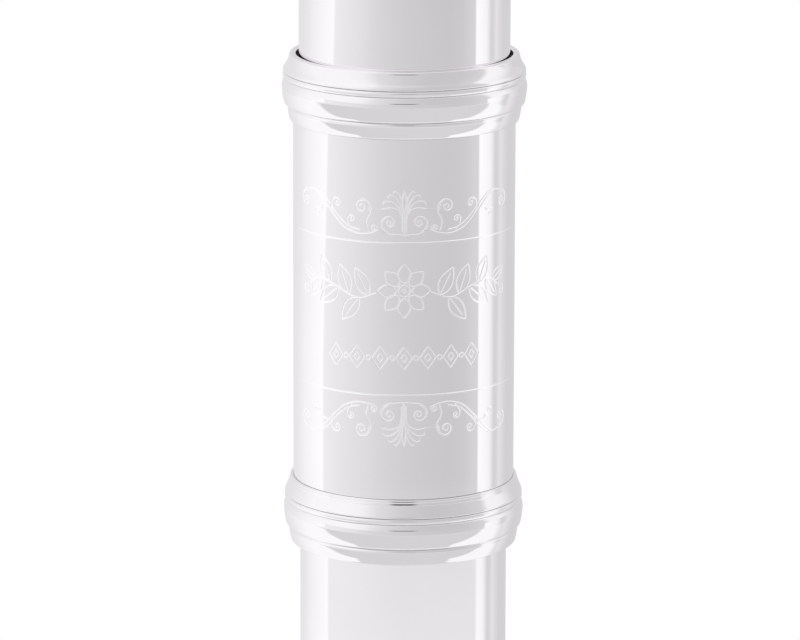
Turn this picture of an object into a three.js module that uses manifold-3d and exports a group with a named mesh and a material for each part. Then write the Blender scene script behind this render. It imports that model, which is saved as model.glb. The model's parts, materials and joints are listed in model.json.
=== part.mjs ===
// A concert flute in C: open-hole keys, offset G, C foot joint, assembled and standing on its foot end.
// Millimetres. +Z runs along the bore from the foot end to the crown, and the origin is the centre of the
// foot end. The keys face -Y, which is called the front; the player is on the -X side.
//
// Around the bore, a place is an angle from the front, positive towards +X. A station is a group turned to
// such an angle, and in it x runs across and h, the height over the bore's axis, runs outwards along -Y.
import * as THREE from "three";
import { mergeVertices } from "three/addons/utils/BufferGeometryUtils.js";
import Module from "manifold-3d";

const wasm = await Module();
wasm.setup();

// ---- Driving dimensions -------------------------------------------------------------------------------
const BORE = 9.5; // radius of the cylindrical bore
const TUBE = 9.9; // outer radius of the body and foot tubes
const GAP = 0.3; // between pieces that touch on the real flute

const EMBOUCHURE_Z = 598; // the centre of the blow hole over the foot end
const FOOT_TOP_Z = 124.6; // where the foot joint's socket ends
const TENON = 12; // the length of body tube that stands in the foot's socket
const BARREL = { bottom: 443.5, top: 490.9, inner: 10.1, outer: 10.55 };
const RING_HEIGHT = 6.4; // of each moulded ring on the barrel
const HEAD = { tenonBottom: 447.4, straightTop: 505, top: 650, outer: 10.0, outerTop: 8.9, wall: 0.45 };
const CROWN = { bottom: 648, top: 666, outer: 9.75 };

// A tone hole: its place, its radius, and the height of its rim over the bore's axis.
const RIM_H = 12.1;
const CHIMNEY_WALL = 0.6;
const hole = (z, angle, r) => ({ z, angle, r });
const OFFSET_G = 18;
const HOLES = {
  d: hole(137, 0, 7.0),
  e: hole(166.5, 0, 7.0),
  f: hole(194, 0, 6.9),
  f_sharp: hole(220.5, 0, 6.9),
  g_lower: hole(245.5, OFFSET_G, 6.7),
  g_upper: hole(269, OFFSET_G, 6.7),
  g_sharp: hole(257.2, 115, 5.6),
  a: hole(291.5, 0, 6.7),
  b_flat: hole(312.5, 0, 6.6),
  thumb: hole(332, 180, 6.5),
  c_sharp: hole(366, 0, 3.3),
  trill_d: hole(383, 0, 3.9),
  trill_d_sharp: hole(400.5, 0, 3.9),
};
const FOOT_ANGLE = 42.71; // the foot's tone holes, when its hinge line is in line with the body's keys
const FOOT_HOLES = {
  d_sharp: hole(104, FOOT_ANGLE, 7.8),
  c_sharp: hole(70, FOOT_ANGLE, 7.8),
  c: hole(35.5, FOOT_ANGLE, 7.8),
};

// Hinge lines, each a place (x, h) in the station that its keys stand in.
const HINGE = { x: 12, h: 13 }; // beside the cups, level with the pads
const HINGE_R = Math.hypot(HINGE.x, HINGE.h);
const TRILL = { x: -15.8, h: 9.1 }; // outside the main line
const LEVER_ANGLE = -34.8; // the foot's low-key levers
const LEVER_R = 15.6;
const STEEL = 1.0; // radius of a hinge steel
const HINGE_TUBE = { inner: 1.3, outer: 1.9 };
const POST = { ball: 2.4, bore: 1.3 };
const RIB = { inner: 10.05, outer: 10.9 };

// Keys: how far a cup stands open, in degrees, and the cup's own heights and walls.
const OPEN = 10;
const CUP = { skirt: 12.7, plate: 14.8, top: 15.5, wall: 0.45, overHole: 2.0 };
const PAD = { face: RIM_H + 0.12, back: 14.5, clear: 0.2 };
const FINGER_HOLE = 3.5; // radius of the hole in an open-hole cup
const SEGMENTS = { tube: 28, cup: 16, small: 12, rod: 8, post: 7 };

// ---- Solids ---------------------------------------------------------------------------------------------
const radians = THREE.MathUtils.degToRad;

/** A closed three.js geometry as a manifold-3d solid, turned right side out. */
function solid(geometry) {
  const bare = geometry.index ? geometry.toNonIndexed() : geometry.clone();
  bare.deleteAttribute("normal");
  bare.deleteAttribute("uv");
  const merged = mergeVertices(bare, 1e-4);
  const positions = merged.attributes.position.array;
  const faces = new Uint32Array(merged.index.array);
  if (signedVolume(positions, faces) < 0) {
    for (let i = 0; i < faces.length; i += 3) [faces[i], faces[i + 1]] = [faces[i + 1], faces[i]];
  }
  return new wasm.Manifold(new wasm.Mesh({ numProp: 3, vertProperties: positions, triVerts: faces }));
}

/** Six times the volume inside a triangle mesh, negative if its faces point in. */
function signedVolume(p, faces) {
  let sum = 0;
  for (let i = 0; i < faces.length; i += 3) {
    const [a, b, c] = [faces[i] * 3, faces[i + 1] * 3, faces[i + 2] * 3];
    sum += p[a] * (p[b + 1] * p[c + 2] - p[b + 2] * p[c + 1]);
    sum += p[a + 1] * (p[b + 2] * p[c] - p[b] * p[c + 2]);
    sum += p[a + 2] * (p[b] * p[c + 1] - p[b + 1] * p[c]);
  }
  return sum;
}

const join = (...parts) => parts.flat(2).reduce((all, part) => all.add(part));
const cut = (body, ...tools) => tools.flat(2).reduce((left, tool) => left.subtract(tool), body);

/** A solid as a named mesh in its own material. */
function piece(name, body, material) {
  const made = body.getMesh();
  const vertices = new Float32Array(made.numVert * 3);
  for (let i = 0; i < made.numVert; i++) {
    vertices.set(made.vertProperties.subarray(i * made.numProp, i * made.numProp + 3), i * 3);
  }
  const geometry = new THREE.BufferGeometry();
  geometry.setAttribute("position", new THREE.BufferAttribute(vertices, 3));
  geometry.setIndex(new THREE.BufferAttribute(new Uint32Array(made.triVerts), 1));
  geometry.computeVertexNormals();
  const mesh = new THREE.Mesh(geometry, material);
  mesh.name = name;
  return mesh;
}

/** A profile of [radius, z] points turned about Z. */
function turned(profile, segments = SEGMENTS.tube) {
  const points = profile.map(([r, z]) => new THREE.Vector2(r, z));
  return solid(new THREE.LatheGeometry(points, segments).rotateX(Math.PI / 2));
}

/** A tube or, with no inner radius, a rod along Z. */
function pipe(outer, inner, z0, z1, segments = SEGMENTS.tube) {
  const low = [[inner, z0], [outer, z0], [outer, z1], [inner, z1]];
  return turned(inner > 0 ? [...low, low[0]] : low, segments);
}

/** The same along Z, but standing at (x, h) in a station. */
function pipeAt(x, h, outer, inner, z0, z1, segments = SEGMENTS.rod) {
  const ring = [[inner, z0], [outer, z0], [outer, z1], [inner, z1]];
  const points = (inner > 0 ? [...ring, ring[0]] : ring).map(([r, z]) => new THREE.Vector2(r, z));
  return solid(new THREE.LatheGeometry(points, segments).rotateX(Math.PI / 2).translate(x, -h, 0));
}

/** A profile of [radius, h] points turned about the outward direction of a station, at (x, z). */
function turnedOutward(profile, x, z, segments) {
  const points = profile.map(([r, h]) => new THREE.Vector2(r, -h));
  return solid(new THREE.LatheGeometry(points, segments).translate(x, 0, z));
}

/** A closed outline of [x, h] points extruded along Z from z0 to z1. */
function slab(outline, z0, z1) {
  const shape = new THREE.Shape(outline.map(([x, h]) => new THREE.Vector2(x, -h)));
  return solid(new THREE.ExtrudeGeometry(shape, { depth: z1 - z0, bevelEnabled: false }).translate(0, 0, z0));
}

/** A plate that faces outwards: an outline in (x, z), from height low to height high. */
function plate(outline, low, high) {
  const shape = new THREE.Shape(outline.map(([x, z]) => new THREE.Vector2(x, z)));
  const geometry = new THREE.ExtrudeGeometry(shape, { depth: high - low, bevelEnabled: false });
  return solid(geometry.rotateX(Math.PI / 2).scale(1, 1, -1).scale(1, 1, -1).translate(0, -low, 0));
}

/** A flat bar that follows a smooth line through [x, h, z] points. */
function bar(points, width, thickness, steps = 6) {
  const path = new THREE.CatmullRomCurve3(points.map(([x, h, z]) => new THREE.Vector3(x, -h, z)));
  const [w, t] = [width / 2, thickness / 2];
  const section = new THREE.Shape([
    new THREE.Vector2(-t, -w),
    new THREE.Vector2(t, -w),
    new THREE.Vector2(t, w),
    new THREE.Vector2(-t, w),
  ]);
  return solid(new THREE.ExtrudeGeometry(section, { steps, extrudePath: path, bevelEnabled: false }));
}

/** An oval outline in (x, z), narrower at its low end by the share taper. */
function oval(x, z, halfX, halfZ, taper = 0, count = 14) {
  return Array.from({ length: count }, (_, i) => {
    const t = (2 * Math.PI * i) / count;
    const slim = 1 - taper * (0.5 - 0.5 * Math.sin(t));
    return [x + halfX * slim * Math.cos(t), z + halfZ * Math.sin(t)];
  });
}

/** The [x, h] place at an angle round the bore. */
const around = (angle, r) => [r * Math.sin(radians(angle)), r * Math.cos(radians(angle))];

/** A group turned to an angle round the bore. */
function station(angle, ...children) {
  const group = new THREE.Group();
  group.rotation.z = radians(angle);
  group.add(...children);
  return group;
}

/** Meshes drawn with their key closed, swung about the hinge line at (x, h) by an angle in degrees. */
function swung(x, h, angle, ...meshes) {
  const hinge = new THREE.Group();
  hinge.position.set(x, -h, 0);
  hinge.rotation.z = radians(angle);
  meshes.forEach((mesh) => mesh.position.set(-x, h, 0));
  hinge.add(...meshes);
  return hinge;
}

// ---- Materials ------------------------------------------------------------------------------------------
const metal = (color, roughness) => new THREE.MeshStandardMaterial({ color, roughness, metalness: 1 });
const cloth = (color, roughness) => new THREE.MeshStandardMaterial({ color, roughness, metalness: 0 });
const SILVER = metal(0xe9e8ea, 0.08);
const STEEL_GREY = metal(0xb4b6ba, 0.22);
const SKIN = cloth(0xe8ddc0, 0.6);
const CORK = cloth(0xb98a5c, 0.85);

// ---- Tubes with drawn tone holes ------------------------------------------------------------------------
/** A chimney and the hole through it, for a tone hole, as [wall, hole]. */
function chimney({ z, angle, r }) {
  const outer = r + CHIMNEY_WALL;
  const seat = turnedOutward([[0, 5.5], [outer, 5.5], [outer, RIM_H], [0, RIM_H]], 0, z, SEGMENTS.cup);
  const bore = turnedOutward([[0, 4.5], [r, 4.5], [r, RIM_H + 1], [0, RIM_H + 1]], 0, z, SEGMENTS.cup);
  return [seat, bore].map((s) => s.rotate([0, 0, angle]));
}

/** A tube's wall, its chimneys and its bore, joined and cut. */
function tubeWithHoles(wall, bore, holes) {
  const chimneys = Object.values(holes).map(chimney);
  const walls = join(wall, chimneys.map(([seat]) => seat));
  return cut(walls, bore, chimneys.map(([, through]) => through));
}

const tenonBottom = FOOT_TOP_Z - TENON;
const bodyTop = BARREL.bottom + 3.4;
const tenonRing = [
  [BORE, FOOT_TOP_Z + 0.3],
  [TUBE + 0.9, FOOT_TOP_Z + 0.3],
  [TUBE + 1.1, FOOT_TOP_Z + 1.2],
  [TUBE + 0.9, FOOT_TOP_Z + 2.1],
  [BORE, FOOT_TOP_Z + 2.1],
  [BORE, FOOT_TOP_Z + 0.3],
];
const bodyTube = tubeWithHoles(
  join(pipe(TUBE, BORE - 1, tenonBottom, bodyTop), turned(tenonRing)),
  pipe(BORE, 0, tenonBottom - 1, bodyTop + 1),
  HOLES,
);

const SOCKET = { inner: 10.15, outer: 10.7 };
const footShell = [
  [BORE - 1, 0],
  [TUBE + 0.9, 0],
  [TUBE + 1.1, 0.9],
  [TUBE + 0.9, 1.8],
  [TUBE, 2.2],
  [TUBE, tenonBottom - 2],
  [SOCKET.outer, tenonBottom - 0.8],
  [SOCKET.outer, FOOT_TOP_Z - 2.6],
  [SOCKET.outer + 0.8, FOOT_TOP_Z - 2.2],
  [SOCKET.outer + 0.8, FOOT_TOP_Z - 0.4],
  [SOCKET.outer + 0.2, FOOT_TOP_Z],
  [BORE - 1, FOOT_TOP_Z],
  [BORE - 1, 0],
];
const footTube = tubeWithHoles(
  turned(footShell),
  join(pipe(BORE, 0, -1, FOOT_TOP_Z + 1), pipe(SOCKET.inner, 0, tenonBottom - GAP, FOOT_TOP_Z + 1)),
  FOOT_HOLES,
);

// ---- Barrel: a sleeve between two moulded rings -----------------------------------------------------------
const sleeve = pipe(BARREL.outer, BARREL.inner, BARREL.bottom + 0.4, BARREL.top - 0.5);

/** The moulding of a barrel ring as [outer radius, height over its lower edge], read upwards. */
const LOWER_MOULDING = [
  [10.35, 0],
  [10.75, 0.4],
  [10.95, 1.15],
  [10.88, 1.6],
  [11.25, 2.0],
  [11.47, 2.9],
  [11.38, 3.85],
  [11.3, 4.1],
  [11.4, 4.65],
  [11.2, 5.3],
  [10.9, 5.95],
  [10.7, RING_HEIGHT],
];
const UPPER_MOULDING = [
  [10.7, 0],
  [10.95, 0.35],
  [11.08, 1.15],
  [10.98, 1.55],
  [11.38, 2.0],
  [11.56, 2.9],
  [11.48, 3.85],
  [11.4, 4.1],
  [11.5, 4.65],
  [11.28, 5.3],
  [10.9, 5.95],
  [10.5, RING_HEIGHT],
];
const sleeveSeat = BARREL.outer + 0.07;
const lowerRing = turned([
  [TUBE + 0.08, BARREL.bottom],
  ...LOWER_MOULDING.map(([r, z]) => [r, BARREL.bottom + z]),
  [sleeveSeat, BARREL.bottom + RING_HEIGHT],
  [sleeveSeat, BARREL.bottom + 0.3],
  [TUBE + 0.08, BARREL.bottom + 0.3],
  [TUBE + 0.08, BARREL.bottom],
]);
const upperBottom = BARREL.top - RING_HEIGHT;
const upperRing = turned([
  [sleeveSeat, upperBottom],
  ...UPPER_MOULDING.map(([r, z]) => [r, upperBottom + z]),
  [BARREL.inner + 0.02, BARREL.top],
  [BARREL.inner + 0.02, BARREL.top - 0.4],
  [sleeveSeat, BARREL.top - 0.4],
  [sleeveSeat, upperBottom],
]);

// ---- Head joint -------------------------------------------------------------------------------------------
/** The head tube's outer radius at z: straight in the barrel, then a long curve inwards to the crown. */
function headRadius(z) {
  const share = THREE.MathUtils.clamp((z - HEAD.straightTop) / (HEAD.top - HEAD.straightTop), 0, 1);
  return THREE.MathUtils.lerp(HEAD.outer, HEAD.outerTop, share ** 1.3);
}

const headStations = [HEAD.tenonBottom, 480, HEAD.straightTop, 540, 575, 600, 625, HEAD.top];
const headOutside = headStations.map((z) => [headRadius(z), z]);
const headInside = headStations.map((z) => [headRadius(z) - HEAD.wall, z]).reverse();
const BLOW_HOLE = { halfX: 5.2, halfZ: 6.1 };

/** An upright oval post for the blow hole and its riser, from height low to height high. */
const blowHole = (grow, low, high) =>
  plate(oval(0, EMBOUCHURE_Z, BLOW_HOLE.halfX + grow, BLOW_HOLE.halfZ + grow, 0, 20), low, high);
const headTube = cut(turned([...headOutside, ...headInside, headOutside[0]]), blowHole(0.2, 3, 12));

const LIP = { halfZ: 31.5, halfAngle: 62, h: 14.9, thickness: 1.0, rows: 14, columns: 12 };

/** The lip plate's outer radius: high at the blow hole, and down to the tube at both ends. */
function lipRadius(along) {
  const end = headRadius(EMBOUCHURE_Z) + LIP.thickness + GAP;
  return end + (LIP.h - end) * Math.cos((along * Math.PI) / 2) ** 0.9;
}

/** The lip plate: a grid over an oval, wrapped round the tube and closed underneath. */
function lipPlate() {
  const vertices = [];
  const faces = [];
  const { rows, columns } = LIP;
  for (const inset of [0, LIP.thickness]) {
    for (let i = 0; i <= rows; i++) {
      const along = -0.995 + (1.99 * i) / rows;
      const reach = LIP.halfAngle * Math.sqrt(1 - along * along);
      for (let j = 0; j <= columns; j++) {
        const [x, h] = around(-reach + (2 * reach * j) / columns, lipRadius(along) - inset);
        vertices.push(x, -h, EMBOUCHURE_Z + along * LIP.halfZ);
      }
    }
  }
  const at = (layer, i, j) => layer * (rows + 1) * (columns + 1) + i * (columns + 1) + j;
  const quad = (a, b, c, d) => faces.push(a, b, c, a, c, d);
  for (let i = 0; i < rows; i++) {
    for (let j = 0; j < columns; j++) {
      quad(at(0, i, j), at(0, i, j + 1), at(0, i + 1, j + 1), at(0, i + 1, j));
      quad(at(1, i, j), at(1, i + 1, j), at(1, i + 1, j + 1), at(1, i, j + 1));
    }
    quad(at(0, i, 0), at(0, i + 1, 0), at(1, i + 1, 0), at(1, i, 0));
    quad(at(0, i, columns), at(1, i, columns), at(1, i + 1, columns), at(0, i + 1, columns));
  }
  for (let j = 0; j < columns; j++) {
    quad(at(0, 0, j), at(1, 0, j), at(1, 0, j + 1), at(0, 0, j + 1));
    quad(at(0, rows, j), at(0, rows, j + 1), at(1, rows, j + 1), at(1, rows, j));
  }
  const geometry = new THREE.BufferGeometry();
  geometry.setAttribute("position", new THREE.BufferAttribute(new Float32Array(vertices), 3));
  geometry.setIndex(faces);
  return solid(geometry);
}

const lip = cut(lipPlate(), blowHole(0, 9, 18));
const riserTop = LIP.h - LIP.thickness - 2 * GAP;
const headClear = turned([
  [0, 560],
  [headRadius(560) + 0.1, 560],
  [headRadius(640) + 0.1, 640],
  [0, 640],
]);
const riser = cut(blowHole(0.9, 8, riserTop + 1), blowHole(0, 7, riserTop + 2), headClear).intersect(
  pipe(riserTop, 0, EMBOUCHURE_Z - 20, EMBOUCHURE_Z + 20),
);

const crown = turned([
  [HEAD.outerTop + 0.15, CROWN.bottom],
  [CROWN.outer - 0.25, CROWN.bottom],
  [CROWN.outer, CROWN.bottom + 0.8],
  [CROWN.outer - 0.3, CROWN.bottom + 1.6],
  [CROWN.outer - 0.4, CROWN.top - 6],
  [CROWN.outer, CROWN.top - 5],
  [CROWN.outer - 0.2, CROWN.top - 3.6],
  [CROWN.outer - 2.2, CROWN.top - 1.4],
  [CROWN.outer - 5.5, CROWN.top - 0.2],
  [0, CROWN.top],
  [0, CROWN.top - 3],
  [1.9, CROWN.top - 3],
  [1.9, HEAD.top + 0.4],
  [HEAD.outerTop + 0.15, HEAD.top + 0.4],
  [HEAD.outerTop + 0.15, CROWN.bottom],
]);

const STOPPER_Z = EMBOUCHURE_Z + 17; // the stopper's face stands one bore radius and a half over the blow hole
const stopperBore = headRadius(635) - HEAD.wall - 0.15;
const stopperScrew = turned(
  [
    [0, STOPPER_Z],
    [stopperBore, STOPPER_Z],
    [stopperBore, STOPPER_Z + 1],
    [1.5, STOPPER_Z + 1],
    [1.5, CROWN.top - 7],
    [0, CROWN.top - 7],
  ],
  SEGMENTS.cup,
);
const stopperCork = pipe(stopperBore, 1.75, STOPPER_Z + 1.2, STOPPER_Z + 18, SEGMENTS.cup);
const stopperNut = pipe(stopperBore - 0.4, 1.75, STOPPER_Z + 18.2, STOPPER_Z + 20, SEGMENTS.cup);

// ---- Ribs with their posts --------------------------------------------------------------------------------
/** A strap soldered along the tube, between two angles and two heights. */
function strap(from, to, z0, z1) {
  const steps = 3;
  const arc = (r) => Array.from({ length: steps + 1 }, (_, i) => around(from + ((to - from) * i) / steps, r));
  return slab([...arc(RIB.outer), ...arc(RIB.inner).reverse()], z0, z1);
}

/** A post that leans from a strap at an angle to a hinge line at (x, h), without its bore. */
function post(angle, x, h, z, ball = POST.ball) {
  const foot = new THREE.Vector3(around(angle, RIB.inner + 0.3)[0], -around(angle, RIB.inner + 0.3)[1], z);
  const head = new THREE.Vector3(x, -h, z);
  const length = foot.distanceTo(head);
  const profile = [
    [0, 0],
    [1.6, 0],
    [1.6, 1.1],
    [1.0, 1.9],
    [1.0, length - ball * 0.9],
    [ball * 0.86, length - ball * 0.5],
    [ball, length],
    [ball * 0.72, length + ball * 0.7],
    [0, length + ball],
  ].map(([r, y]) => new THREE.Vector2(r, y));
  const geometry = new THREE.LatheGeometry(profile, SEGMENTS.post);
  const lean = new THREE.Quaternion().setFromUnitVectors(
    new THREE.Vector3(0, 1, 0),
    head.clone().sub(foot).normalize(),
  );
  return solid(geometry.applyQuaternion(lean).translate(foot.x, foot.y, foot.z));
}

/** A rib's straps and posts, cut back to the tube and bored along each hinge line. */
const rib = (straps, posts, bores) => cut(join(straps, posts), pipe(RIB.inner, 0, -5, 500), bores);
const lineBore = (x, h, r, z0, z1) => pipeAt(x, h, r, 0, z0, z1, SEGMENTS.small);

const mainLine = [-HINGE.x, HINGE.h];
const trillLine = [TRILL.x, TRILL.h];
const MAIN_POSTS = [129.2, 179, 231, 278.5, 322.5, 373.7];
const TRILL_ENDS = [141, 410];
const TRILL_BEARINGS = [248, 340];
const TRILL_TUBE_BORE = 2.15;
const mainRib = rib(
  [strap(-70, -52, 127.2, 413)],
  [
    MAIN_POSTS.map((z) => post(-60, ...mainLine, z)),
    TRILL_ENDS.map((z) => post(-66, ...trillLine, z)),
    TRILL_BEARINGS.map((z) => post(-66, ...trillLine, z, 2.75)),
  ],
  [
    lineBore(...mainLine, POST.bore, 120, 380),
    ...TRILL_ENDS.map((z) => lineBore(...trillLine, POST.bore, z - 4, z + 4)),
    ...TRILL_BEARINGS.map((z) => lineBore(...trillLine, TRILL_TUBE_BORE, z - 4, z + 4)),
  ],
);

const gLine = around(OFFSET_G + Math.atan2(HINGE.x, HINGE.h) * THREE.MathUtils.RAD2DEG, HINGE_R);
const G_POSTS = [221.5, 237.9, 282];
const gRib = rib(
  [strap(66.5, 75.5, 219, 285)],
  G_POSTS.map((z) => post(71, ...gLine, z)),
  [lineBore(...gLine, POST.bore, 215, 290)],
);

const THUMB_POSTS = [297.5, 343.8];
const thumbRib = rib(
  [strap(52, 70, 295, 347)],
  THUMB_POSTS.map((z) => post(60, HINGE.x, HINGE.h, z)),
  [lineBore(HINGE.x, HINGE.h, POST.bore, 290, 350)],
);

const footLine = [0, HINGE_R];
const leverLine = around(LEVER_ANGLE, LEVER_R);
const FOOT_POSTS = [21.9, 88.3, 107.9];
const LEVER_POSTS = [40.4, 86.8];
const footRib = rib(
  [strap(-30, -17, 19, 110.3), strap(-52, -17, 38, 89.2)],
  [
    FOOT_POSTS.map((z) => post(-21, ...footLine, z)),
    LEVER_POSTS.map((z) => post(-44, ...leverLine, z)),
  ],
  [lineBore(...footLine, POST.bore, 15, 120), lineBore(...leverLine, POST.bore, 35, 92)],
);

// ---- Keys -------------------------------------------------------------------------------------------------
/** The outer radius of the cup that covers a hole. */
const cupRadius = (r) => r + CUP.overHole;

/** A key cup over a hole of radius r at z: a shallow dish, with a finger hole and its ring if it is open. */
function cup(r, z, open = false, segments = SEGMENTS.cup) {
  const R = cupRadius(r);
  const inside = R - CUP.wall;
  const outside = [[R, CUP.skirt], [R, CUP.top - 0.5], [R - 0.6, CUP.top]];
  const profile = open
    ? [
        [inside, CUP.skirt],
        ...outside,
        [FINGER_HOLE, CUP.top],
        [FINGER_HOLE, CUP.skirt],
        [FINGER_HOLE + 0.5, CUP.skirt],
        [FINGER_HOLE + 0.5, CUP.plate],
        [inside, CUP.plate],
        [inside, CUP.skirt],
      ]
    : [[0, CUP.plate], [inside, CUP.plate], [inside, CUP.skirt], ...outside, [0, CUP.top + 0.3]];
  return turnedOutward(profile, 0, z, segments);
}

/** The pad in that cup. */
function pad(r, z, open = false, segments = SEGMENTS.cup) {
  const R = cupRadius(r) - CUP.wall - PAD.clear;
  const low = open ? FINGER_HOLE + 0.5 + PAD.clear : 0;
  const ring = [[low, PAD.face], [R, PAD.face], [R, PAD.back], [low, PAD.back]];
  return turnedOutward(open ? [...ring, ring[0]] : ring, 0, z, segments);
}

/** An arm from a hinge tube at (x, h) over the edge of a cup of radius R at z, pointed towards its centre. */
function arm(x, h, R, z, reach = 0.35, width = 3.4) {
  const side = Math.sign(x);
  const outline = [
    [x - side * 0.4, h - 1.1],
    [side * (R - 0.2), CUP.skirt + 0.5],
    [side * (R - 0.2), CUP.top - 0.2],
    [side * R * reach, CUP.top - 0.2],
    [side * R * reach, CUP.top + 0.45],
    [side * (R + 0.2), CUP.top + 0.9],
    [x - side * 0.4, h + 1.6],
  ];
  return slab(outline, z - width / 2, z + width / 2);
}

/** A hinge tube for a key, on the line at (x, h). */
const hingeTube = (x, h, z0, z1) => pipeAt(x, h, HINGE_TUBE.outer, HINGE_TUBE.inner, z0, z1);
const tubeBore = (x, h, z0, z1) => pipeAt(x, h, HINGE_TUBE.inner, 0, z0, z1);

/** A key of one or more cups on one tube. cups holds [hole, open]; extras are joined on. */
function key(x, h, tube, cups, extras = []) {
  const body = join(
    hingeTube(x, h, ...tube),
    cups.map(([{ z, r }]) => arm(x, h, cupRadius(r), z, r < 5 ? 0.2 : 0.45, r < 5 ? 2.4 : 3.4)),
    cups.map(([{ z, r }, open]) => cup(r, z, open, r < 5 ? SEGMENTS.small : SEGMENTS.cup)),
    extras,
  );
  const fingerHoles = cups
    .filter(([, open]) => open)
    .map(([{ z }]) => turnedOutward([[0, 11], [FINGER_HOLE, 11], [FINGER_HOLE, 18], [0, 18]], 0, z, SEGMENTS.cup));
  return cut(body, tubeBore(x, h, tube[0] - 1, tube[1] + 1), fingerHoles);
}

const left = [-HINGE.x, HINGE.h];
const right = [HINGE.x, HINGE.h];

/** An open-standing key and its pads on the main line. */
function mainKey(name, tube, holes, extras = []) {
  const meshes = [piece(`${name}_key`, key(...left, tube, holes, extras), SILVER)];
  holes.forEach(([{ z, r }, open], i) => {
    const suffix = holes.length > 1 ? `_${i + 1}` : "";
    const segments = r < 5 ? SEGMENTS.small : SEGMENTS.cup;
    meshes.push(piece(`${name}_pad${suffix}`, pad(r, z, open, segments), SKIN));
  });
  return swung(...left, -OPEN, ...meshes);
}

// The first finger's plate has no hole under it: it rides on the small C sharp key's tube.
const FIRST_FINGER_Z = 332;
const firstFingerPlate = [
  turnedOutward(
    [[0, CUP.plate], [8.2, CUP.plate], [8.6, CUP.skirt + 1], [8.8, CUP.top - 0.4], [8.2, CUP.top], [0, CUP.top + 0.3]],
    0,
    FIRST_FINGER_Z,
    SEGMENTS.cup,
  ),
  arm(...left, 8.8, FIRST_FINGER_Z, 0.45),
];

const bodyKeys = [
  mainKey("d", [131.9, 151], [[HOLES.d, true]]),
  mainKey("e", [151.4, 176.2], [[HOLES.e, true]]),
  mainKey("f", [181.8, 203.4], [[HOLES.f, true]]),
  mainKey("f_sharp", [211.2, 228.2], [[HOLES.f_sharp, false]]),
  mainKey("a", [281.3, 300.8], [[HOLES.a, true]]),
  mainKey("b_flat", [301.2, 319.7], [[HOLES.b_flat, false]]),
  mainKey("c_sharp", [325.3, 370.9], [[HOLES.c_sharp, false]], firstFingerPlate),
];

// The B flat side lever stands between the F and F sharp cups.
const SHAKE_Z = 207.3;
const shakeLever = cut(
  join(
    hingeTube(...left, SHAKE_Z - 3.4, SHAKE_Z + 3.4),
    slab([[-12.4, 11.9], [-9, 15.6], [-3, 17.1], [-3, 17.7], [-9.5, 17.2], [-12.4, 14.6]], SHAKE_Z - 1.5, SHAKE_Z + 1.5),
    plate(oval(-4.6, SHAKE_Z, 4.4, 2.6), 17.0, 18.0),
  ),
  tubeBore(...left, SHAKE_Z - 5, SHAKE_Z + 5),
);

const gKeys = [
  piece("g_key", key(...right, [240.6, 279.2], [[HOLES.g_lower, true], [HOLES.g_upper, false]]), SILVER),
  piece("g_lower_pad", pad(HOLES.g_lower.r, HOLES.g_lower.z, true), SKIN),
  piece("g_upper_pad", pad(HOLES.g_upper.r, HOLES.g_upper.z), SKIN),
];

// The closed G sharp key is a see-saw: its cup is behind the G hinge line and its touch in front.
const gSharp = HOLES.g_sharp;
const gSharpLine = around(OFFSET_G + Math.atan2(HINGE.x, HINGE.h) * THREE.MathUtils.RAD2DEG - gSharp.angle, HINGE_R);
const touchAt = around(47 - gSharp.angle, 20.3);
const gSharpKey = cut(
  join(
    hingeTube(...gSharpLine, 224.2, 235.2),
    bar([[gSharpLine[0] + 1.4, gSharpLine[1] + 0.4, 229], [-9.6, 14.4, 238], [-5, 16.2, 247], [0, 16.3, 257]], 2.6, 1.5),
    cup(gSharp.r, gSharp.z),
    bar([[gSharpLine[0] - 0.6, gSharpLine[1] + 1.2, 230], [touchAt[0] + 0.6, touchAt[1] - 0.6, 229], [touchAt[0], touchAt[1], 224]], 2.6, 1.4, 4),
    solid(
      new THREE.CylinderGeometry(3.1, 3.1, 1.2, 14)
        .scale(1, 1, 2.3)
        .rotateZ(radians(-(gSharp.angle - 47)))
        .translate(touchAt[0], -touchAt[1], 225.5),
    ),
  ),
  tubeBore(...gSharpLine, 220, 240),
);

/** A closed trill key: its cup inside the trill line, its touch outside. */
function trillTouch(z) {
  return [
    slab([[-16, 7.6], [-18.2, 8.8], [-21, 12.6], [-21, 13.8], [-19.4, 13.8], [-16.2, 10.8]], z - 1.6, z + 1.6),
    plate(oval(-20.3, z, 2.9, 5.6), 13.4, 14.4),
  ];
}
const trillArm = ({ z, r }) => arm(...trillLine, cupRadius(r), z, 0.2, 2.4);
const TRILL_D_TUBE = [164, 392];
const trillD = cut(
  join(
    pipeAt(...trillLine, 1.85, 1.15, ...TRILL_D_TUBE),
    trillTouch(180.2),
    trillArm(HOLES.trill_d),
    cup(HOLES.trill_d.r, HOLES.trill_d.z, false, SEGMENTS.small),
  ),
  pipeAt(...trillLine, 1.15, 0, 160, 396),
);
const trillDSharp = join(
  pipeAt(...trillLine, 0.8, 0, 139.5, 411.5),
  pipeAt(...trillLine, 1.85, 0, 143.9, 163.6),
  pipeAt(...trillLine, 1.85, 0, 392.4, 407.1),
  trillTouch(151.8),
  trillArm(HOLES.trill_d_sharp),
  cup(HOLES.trill_d_sharp.r, HOLES.trill_d_sharp.z, false, SEGMENTS.small),
);

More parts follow.
